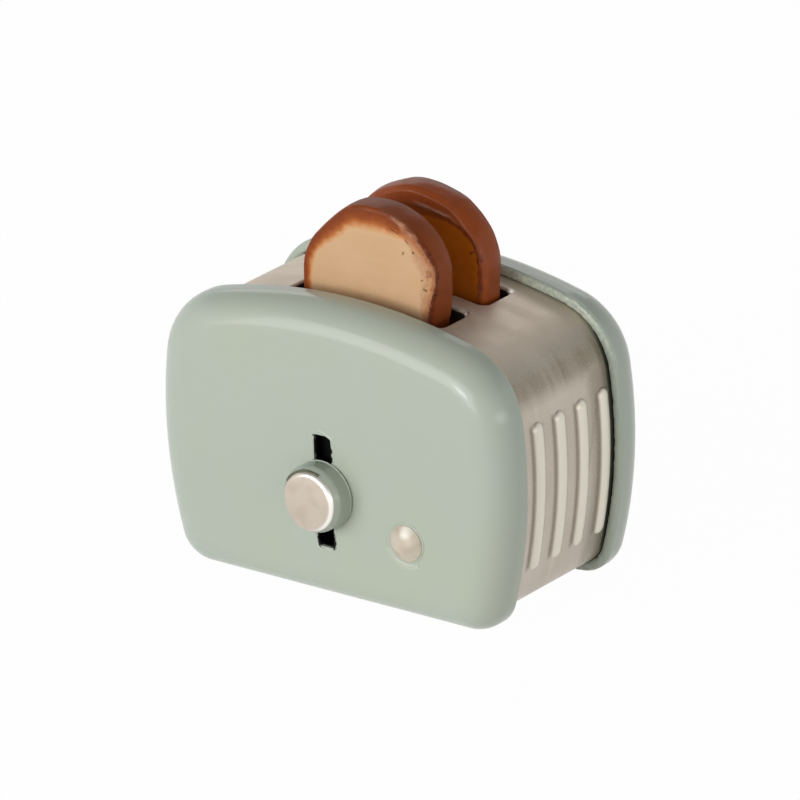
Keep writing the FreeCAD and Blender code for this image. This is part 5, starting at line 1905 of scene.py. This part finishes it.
    def draw(
        self,
        tree: bpy.types.NodeTree,
        name: str,
        path: np.ndarray,
        closed: bool,
        bead: Bead,
        plane: float,
        finish: bpy.types.Material,
        body: Body = Body.HOUSING,
    ) -> bpy.types.Object:
        """Run the node tree along a path and keep the result as a plain mesh.

        Args:
            tree: The bead's node tree.
            name: The piece's name.
            path: x, z points.
            closed: Whether the path ends where it starts.
            bead: The bead's sizes.
            plane: Its place along Y.
            finish: Its material.
            body: The body that it moves with.

        Returns:
            The finished piece.
        """
        line = bpy.data.meshes.new(name + "_path")
        edges = [(step, step + 1) for step in range(len(path) - 1)]
        edges += [(len(path) - 1, 0)] if closed else []
        line.from_pydata([(x, z, 0.0) for x, z in path], edges, [])
        holder = new_object(name + "_path", line)
        modifier = holder.modifiers.new("bead", "NODES")
        modifier.node_group = tree
        levels = {
            "Width": bead.width,
            "Height": bead.height,
            "Step": bead.step,
            "Lump": bead.lump,
            "Lump Size": bead.lump_size,
            "Plane": plane,
            "Finish": finish,
        }
        for item in tree.interface.items_tree:
            if item.in_out == "INPUT" and item.name in levels:
                modifier[item.identifier] = levels[item.name]
        shaped = holder.evaluated_get(bpy.context.evaluated_depsgraph_get())
        piece = new_object(name, bpy.data.meshes.new_from_object(shaped))
        holder.modifiers.remove(modifier)
        bpy.data.objects.remove(holder)
        ride(piece, body, finish)
        return piece

    def chip(self, lip: bpy.types.Object) -> None:
        """Paint the slot's lip black where it stands for the shade inside the slot.

        Args:
            lip: The lip.
        """
        x, _, z = mesh_points(lip.data).T / MM
        inside = np.zeros(len(x), dtype=bool)
        corners = np.array(self.chipped)
        for (x0, z0), (x1, z1) in zip(corners, np.roll(corners, -1, axis=0)):
            crosses = (z0 > z) != (z1 > z)
            rise = z1 - z0 if z1 != z0 else 1e-9
            inside ^= crosses & (x < (x1 - x0) * (z - z0) / rise + x0)
        write_mask(lip, Mask.PITS_AND_SHADE, inside.astype(float))


# ------------------------------------------------------------------ studio


@dataclass(frozen=True)
class Lamp:
    """A rectangular soft lamp, by its bearing, height angle, distance, size and radiance.

    The angles are in degrees, and the bearing from straight in front, towards the right.
    """

    name: str
    bearing: float
    rise: float
    distance: float
    size: Span
    radiance: float


@dataclass
class Studio:
    """A pale floor, a surround that darkens overhead, and soft lamps at a plain level."""

    floor_size: float = 6.0
    floor_colour: Colour = srgb(248, 248, 247)
    floor_glow: float = 0.98
    sky_low: float = math.sin(math.radians(22))
    sky_high: float = math.sin(math.radians(40))
    overhead: float = 0.3
    fill: float = 0.6
    aim: Triple = (0.0, 0.0, 0.02)
    lamps: tuple[Lamp, ...] = (
        Lamp("key_lamp", -5.0, 11.5, 0.65, (0.15, 0.09), 10.0),
        Lamp("front_lamp", -14.0, 11.0, 1.2, (1.3, 0.8), 3.05),
        Lamp("side_lamp", 82.0, 4.0, 0.9, (0.6, 0.24), 2.7),
        Lamp("rear_lamp", 214.0, 31.0, 1.1, (0.9, 0.28), 1.2),
    )

    def build(self) -> None:
        """Make the floor, the surround and the lamps."""
        self.surround()
        self.floor()
        for lamp in self.lamps:
            self.hang(lamp)
        bpy.context.scene.view_settings.view_transform = "Standard"

    def surround(self) -> None:
        """A surround that shows white, and lights the toaster less than that from overhead."""
        world = bpy.data.worlds.new("surround")
        bpy.context.scene.world = world
        world.use_nodes = True
        graph = Graph(world.node_tree)
        path = graph.add("ShaderNodeLightPath").outputs
        place = graph.add("ShaderNodeTexCoord").outputs["Generated"]
        height = graph.add("ShaderNodeSeparateXYZ", Vector=place).outputs["Z"]
        sky = graph.ease(height, self.sky_low, self.sky_high, 1.0, self.overhead)
        mirrored = graph.largest(path["Is Glossy Ray"], path["Is Transmission Ray"])
        dim = graph.product(sky, graph.ease(mirrored, 0.0, 1.0, self.fill, 1.0))
        seen = path["Is Camera Ray"]
        level = graph.add("ShaderNodeMapRange", Value=seen, To_Min=dim, To_Max=1.0)
        glow = world.node_tree.nodes["Background"]
        graph.fill(glow.inputs["Color"], WHITE)
        graph.fill(glow.inputs["Strength"], level)

    def floor(self) -> None:
        """A plain pale floor that keeps a soft shadow."""
        half = self.floor_size / 2
        corners = half * np.array([(-1, -1, 0), (1, -1, 0), (1, 1, 0), (-1, 1, 0)])
        floor = mesh_object("floor", corners, [(0, 1, 2, 3)])
        material = bpy.data.materials.new("floor_paper")
        material.use_nodes = True
        material.node_tree.nodes.clear()
        graph = Graph(material.node_tree)
        path = graph.add("ShaderNodeLightPath").outputs
        rays = ("Is Camera Ray", "Is Glossy Ray", "Is Transmission Ray")
        seen = graph.largest(*[path[ray] for ray in rays])
        mix = graph.add("ShaderNodeMixShader", Fac=graph.product(seen, self.floor_glow))
        paper = graph.add("ShaderNodeBsdfDiffuse", Color=self.floor_colour)
        graph.fill(mix.inputs[1], paper)
        graph.fill(mix.inputs[2], graph.add("ShaderNodeEmission", Color=WHITE))
        graph.add("ShaderNodeOutputMaterial", Surface=mix)
        floor.data.materials.append(material)

    def hang(self, lamp: Lamp) -> None:
        """Hang a lamp so that it faces the toaster.

        Args:
            lamp: The lamp.
        """
        light = bpy.data.lights.new(lamp.name, "AREA")
        light.shape = "RECTANGLE"
        light.size, light.size_y = lamp.size
        light.energy = lamp.radiance * math.pi * lamp.size[0] * lamp.size[1]
        away = towards(math.radians(lamp.bearing), math.radians(lamp.rise))
        holder = new_object(lamp.name, light)
        holder.location = Vector(self.aim) + away * lamp.distance
        holder.rotation_euler = (-away).to_track_quat("-Z", "Y").to_euler()
        holder.visible_camera = False


@dataclass
class Viewpoint:
    """A long lens from the right, above the knob's side."""

    azimuth: float = math.radians(37.178)
    elevation: float = math.radians(21.636)
    roll: float = math.radians(-1.631)
    distance: float = 1149.98 * MM
    aim: Triple = (0.0, 1.8 * MM, 20.0 * MM)
    right_shift: float = 0.0387 * MM
    up_shift: float = 1.807 * MM
    sensor: float = 36.0
    lens: float = 415.3
    sight: float = 100.0

    def build(self) -> None:
        """Make the camera."""
        back = towards(self.azimuth, self.elevation)
        level = (-back).cross(Vector((0, 0, 1))).normalized()
        upright = level.cross(-back)
        right = math.cos(self.roll) * level + math.sin(self.roll) * upright
        up = -math.sin(self.roll) * level + math.cos(self.roll) * upright
        camera = bpy.data.cameras.new("camera")
        camera.sensor_width = self.sensor
        camera.lens = self.lens
        camera.clip_end = self.sight
        holder = new_object("camera", camera)
        place = (
            Vector(self.aim)
            + back * self.distance
            + right * self.right_shift
            + up * self.up_shift
        )
        turn = Matrix((right, up, back)).transposed().to_4x4()
        holder.matrix_world = Matrix.Translation(place) @ turn
        bpy.context.scene.camera = holder


# ------------------------------------------------------------------ assembly


def main() -> None:
    """Build everything in order."""
    logging.basicConfig(level=logging.INFO, format="%(name)s: %(message)s")
    Viewpoint().build()
    Studio().build()

    enamel = Enamel().build("mint_enamel")
    dress(("front_panel", "rear_panel"), enamel)
    # The knob gets the darker copy of the enamel, as painted shade.
    dress(("lever_knob",), SHADED_KNOB_ENAMEL.build("shaded_knob_enamel"))
    dress(("casing",), Lacquer().build("champagne_lacquer"))
    silver = SATIN_SILVER.build("satin_silver")
    low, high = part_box("dial_stud")
    x, _, z = midpoint((low, high)) + DIAL_SHINE
    dress(("dial_stud",), replace(CAST_SILVER, highlight_spot=(x, low.y, z)).build("cast_silver"))
    CapDome().build(silver)
    steel = BRIGHT_STEEL.build("bright_steel")
    dress(("tie_screws", "base_plate", "dial_push_nut", "lever_pin", "spring_washer"), steel)
    black = BLACK_STEEL.build("black_steel")
    # The parts seen down the bread slots are black, partly as painted shade.
    dress(("guide_wire", "lift_plate", "front_bread_tray", "rear_bread_tray"), black)
    dress(("tray_rivets", "left_guide_bush", "right_guide_bush"), BRASS.build("brass"))
    dress(("slide_washer",), Plastic().build("nylon"))

    ToastSlice(
        "front_bread_slice",
        Body.FRONT_SLICE,
        FRONT_KNOTS,
        PALE_TOAST,
        seed=3,
        pits=FRONT_PITS,
        toasted=FRONT_TOASTED,
        blush=FRONT_BLUSH,
        rim=FRONT_RIM,
        recess=0.05 * MM,
        worn_and_highlight=0.15,
    ).build()
    ToastSlice(
        "rear_bread_slice",
        Body.REAR_SLICE,
        REAR_KNOTS,
        DARK_TOAST,
        seed=11,
        pits=REAR_PITS,
        toasted=REAR_TOASTED,
        blush=REAR_BLUSH,
        rim=REAR_RIM,
        recess=0.45 * MM,
        worn_and_highlight=0.75,
        line=0.0,
        edge_round=1.25 * MM,
    ).build()
    # Rim beads: enamel with pale flecks that are partly painted glints.
    gathered_and_glint = Enamel(fleck=GATHERED_AND_GLINT, roughness=0.42).build("gathered_enamel_and_glints")
    smear = Enamel(colour=SMEAR, cool=SMEAR, warm=SMEAR).build("smeared_enamel")
    # Dark enamel for the painted shadow beside the knob's cap.
    gap_shade = Enamel(colour=GAP_SHADE, cool=GAP_SHADE, warm=GAP_SHADE, coat=0.2).build("gap_shade")
    PaintBeads().build(enamel, gathered_and_glint, smear, gap_shade)


if __name__ == "__main__":
    main()
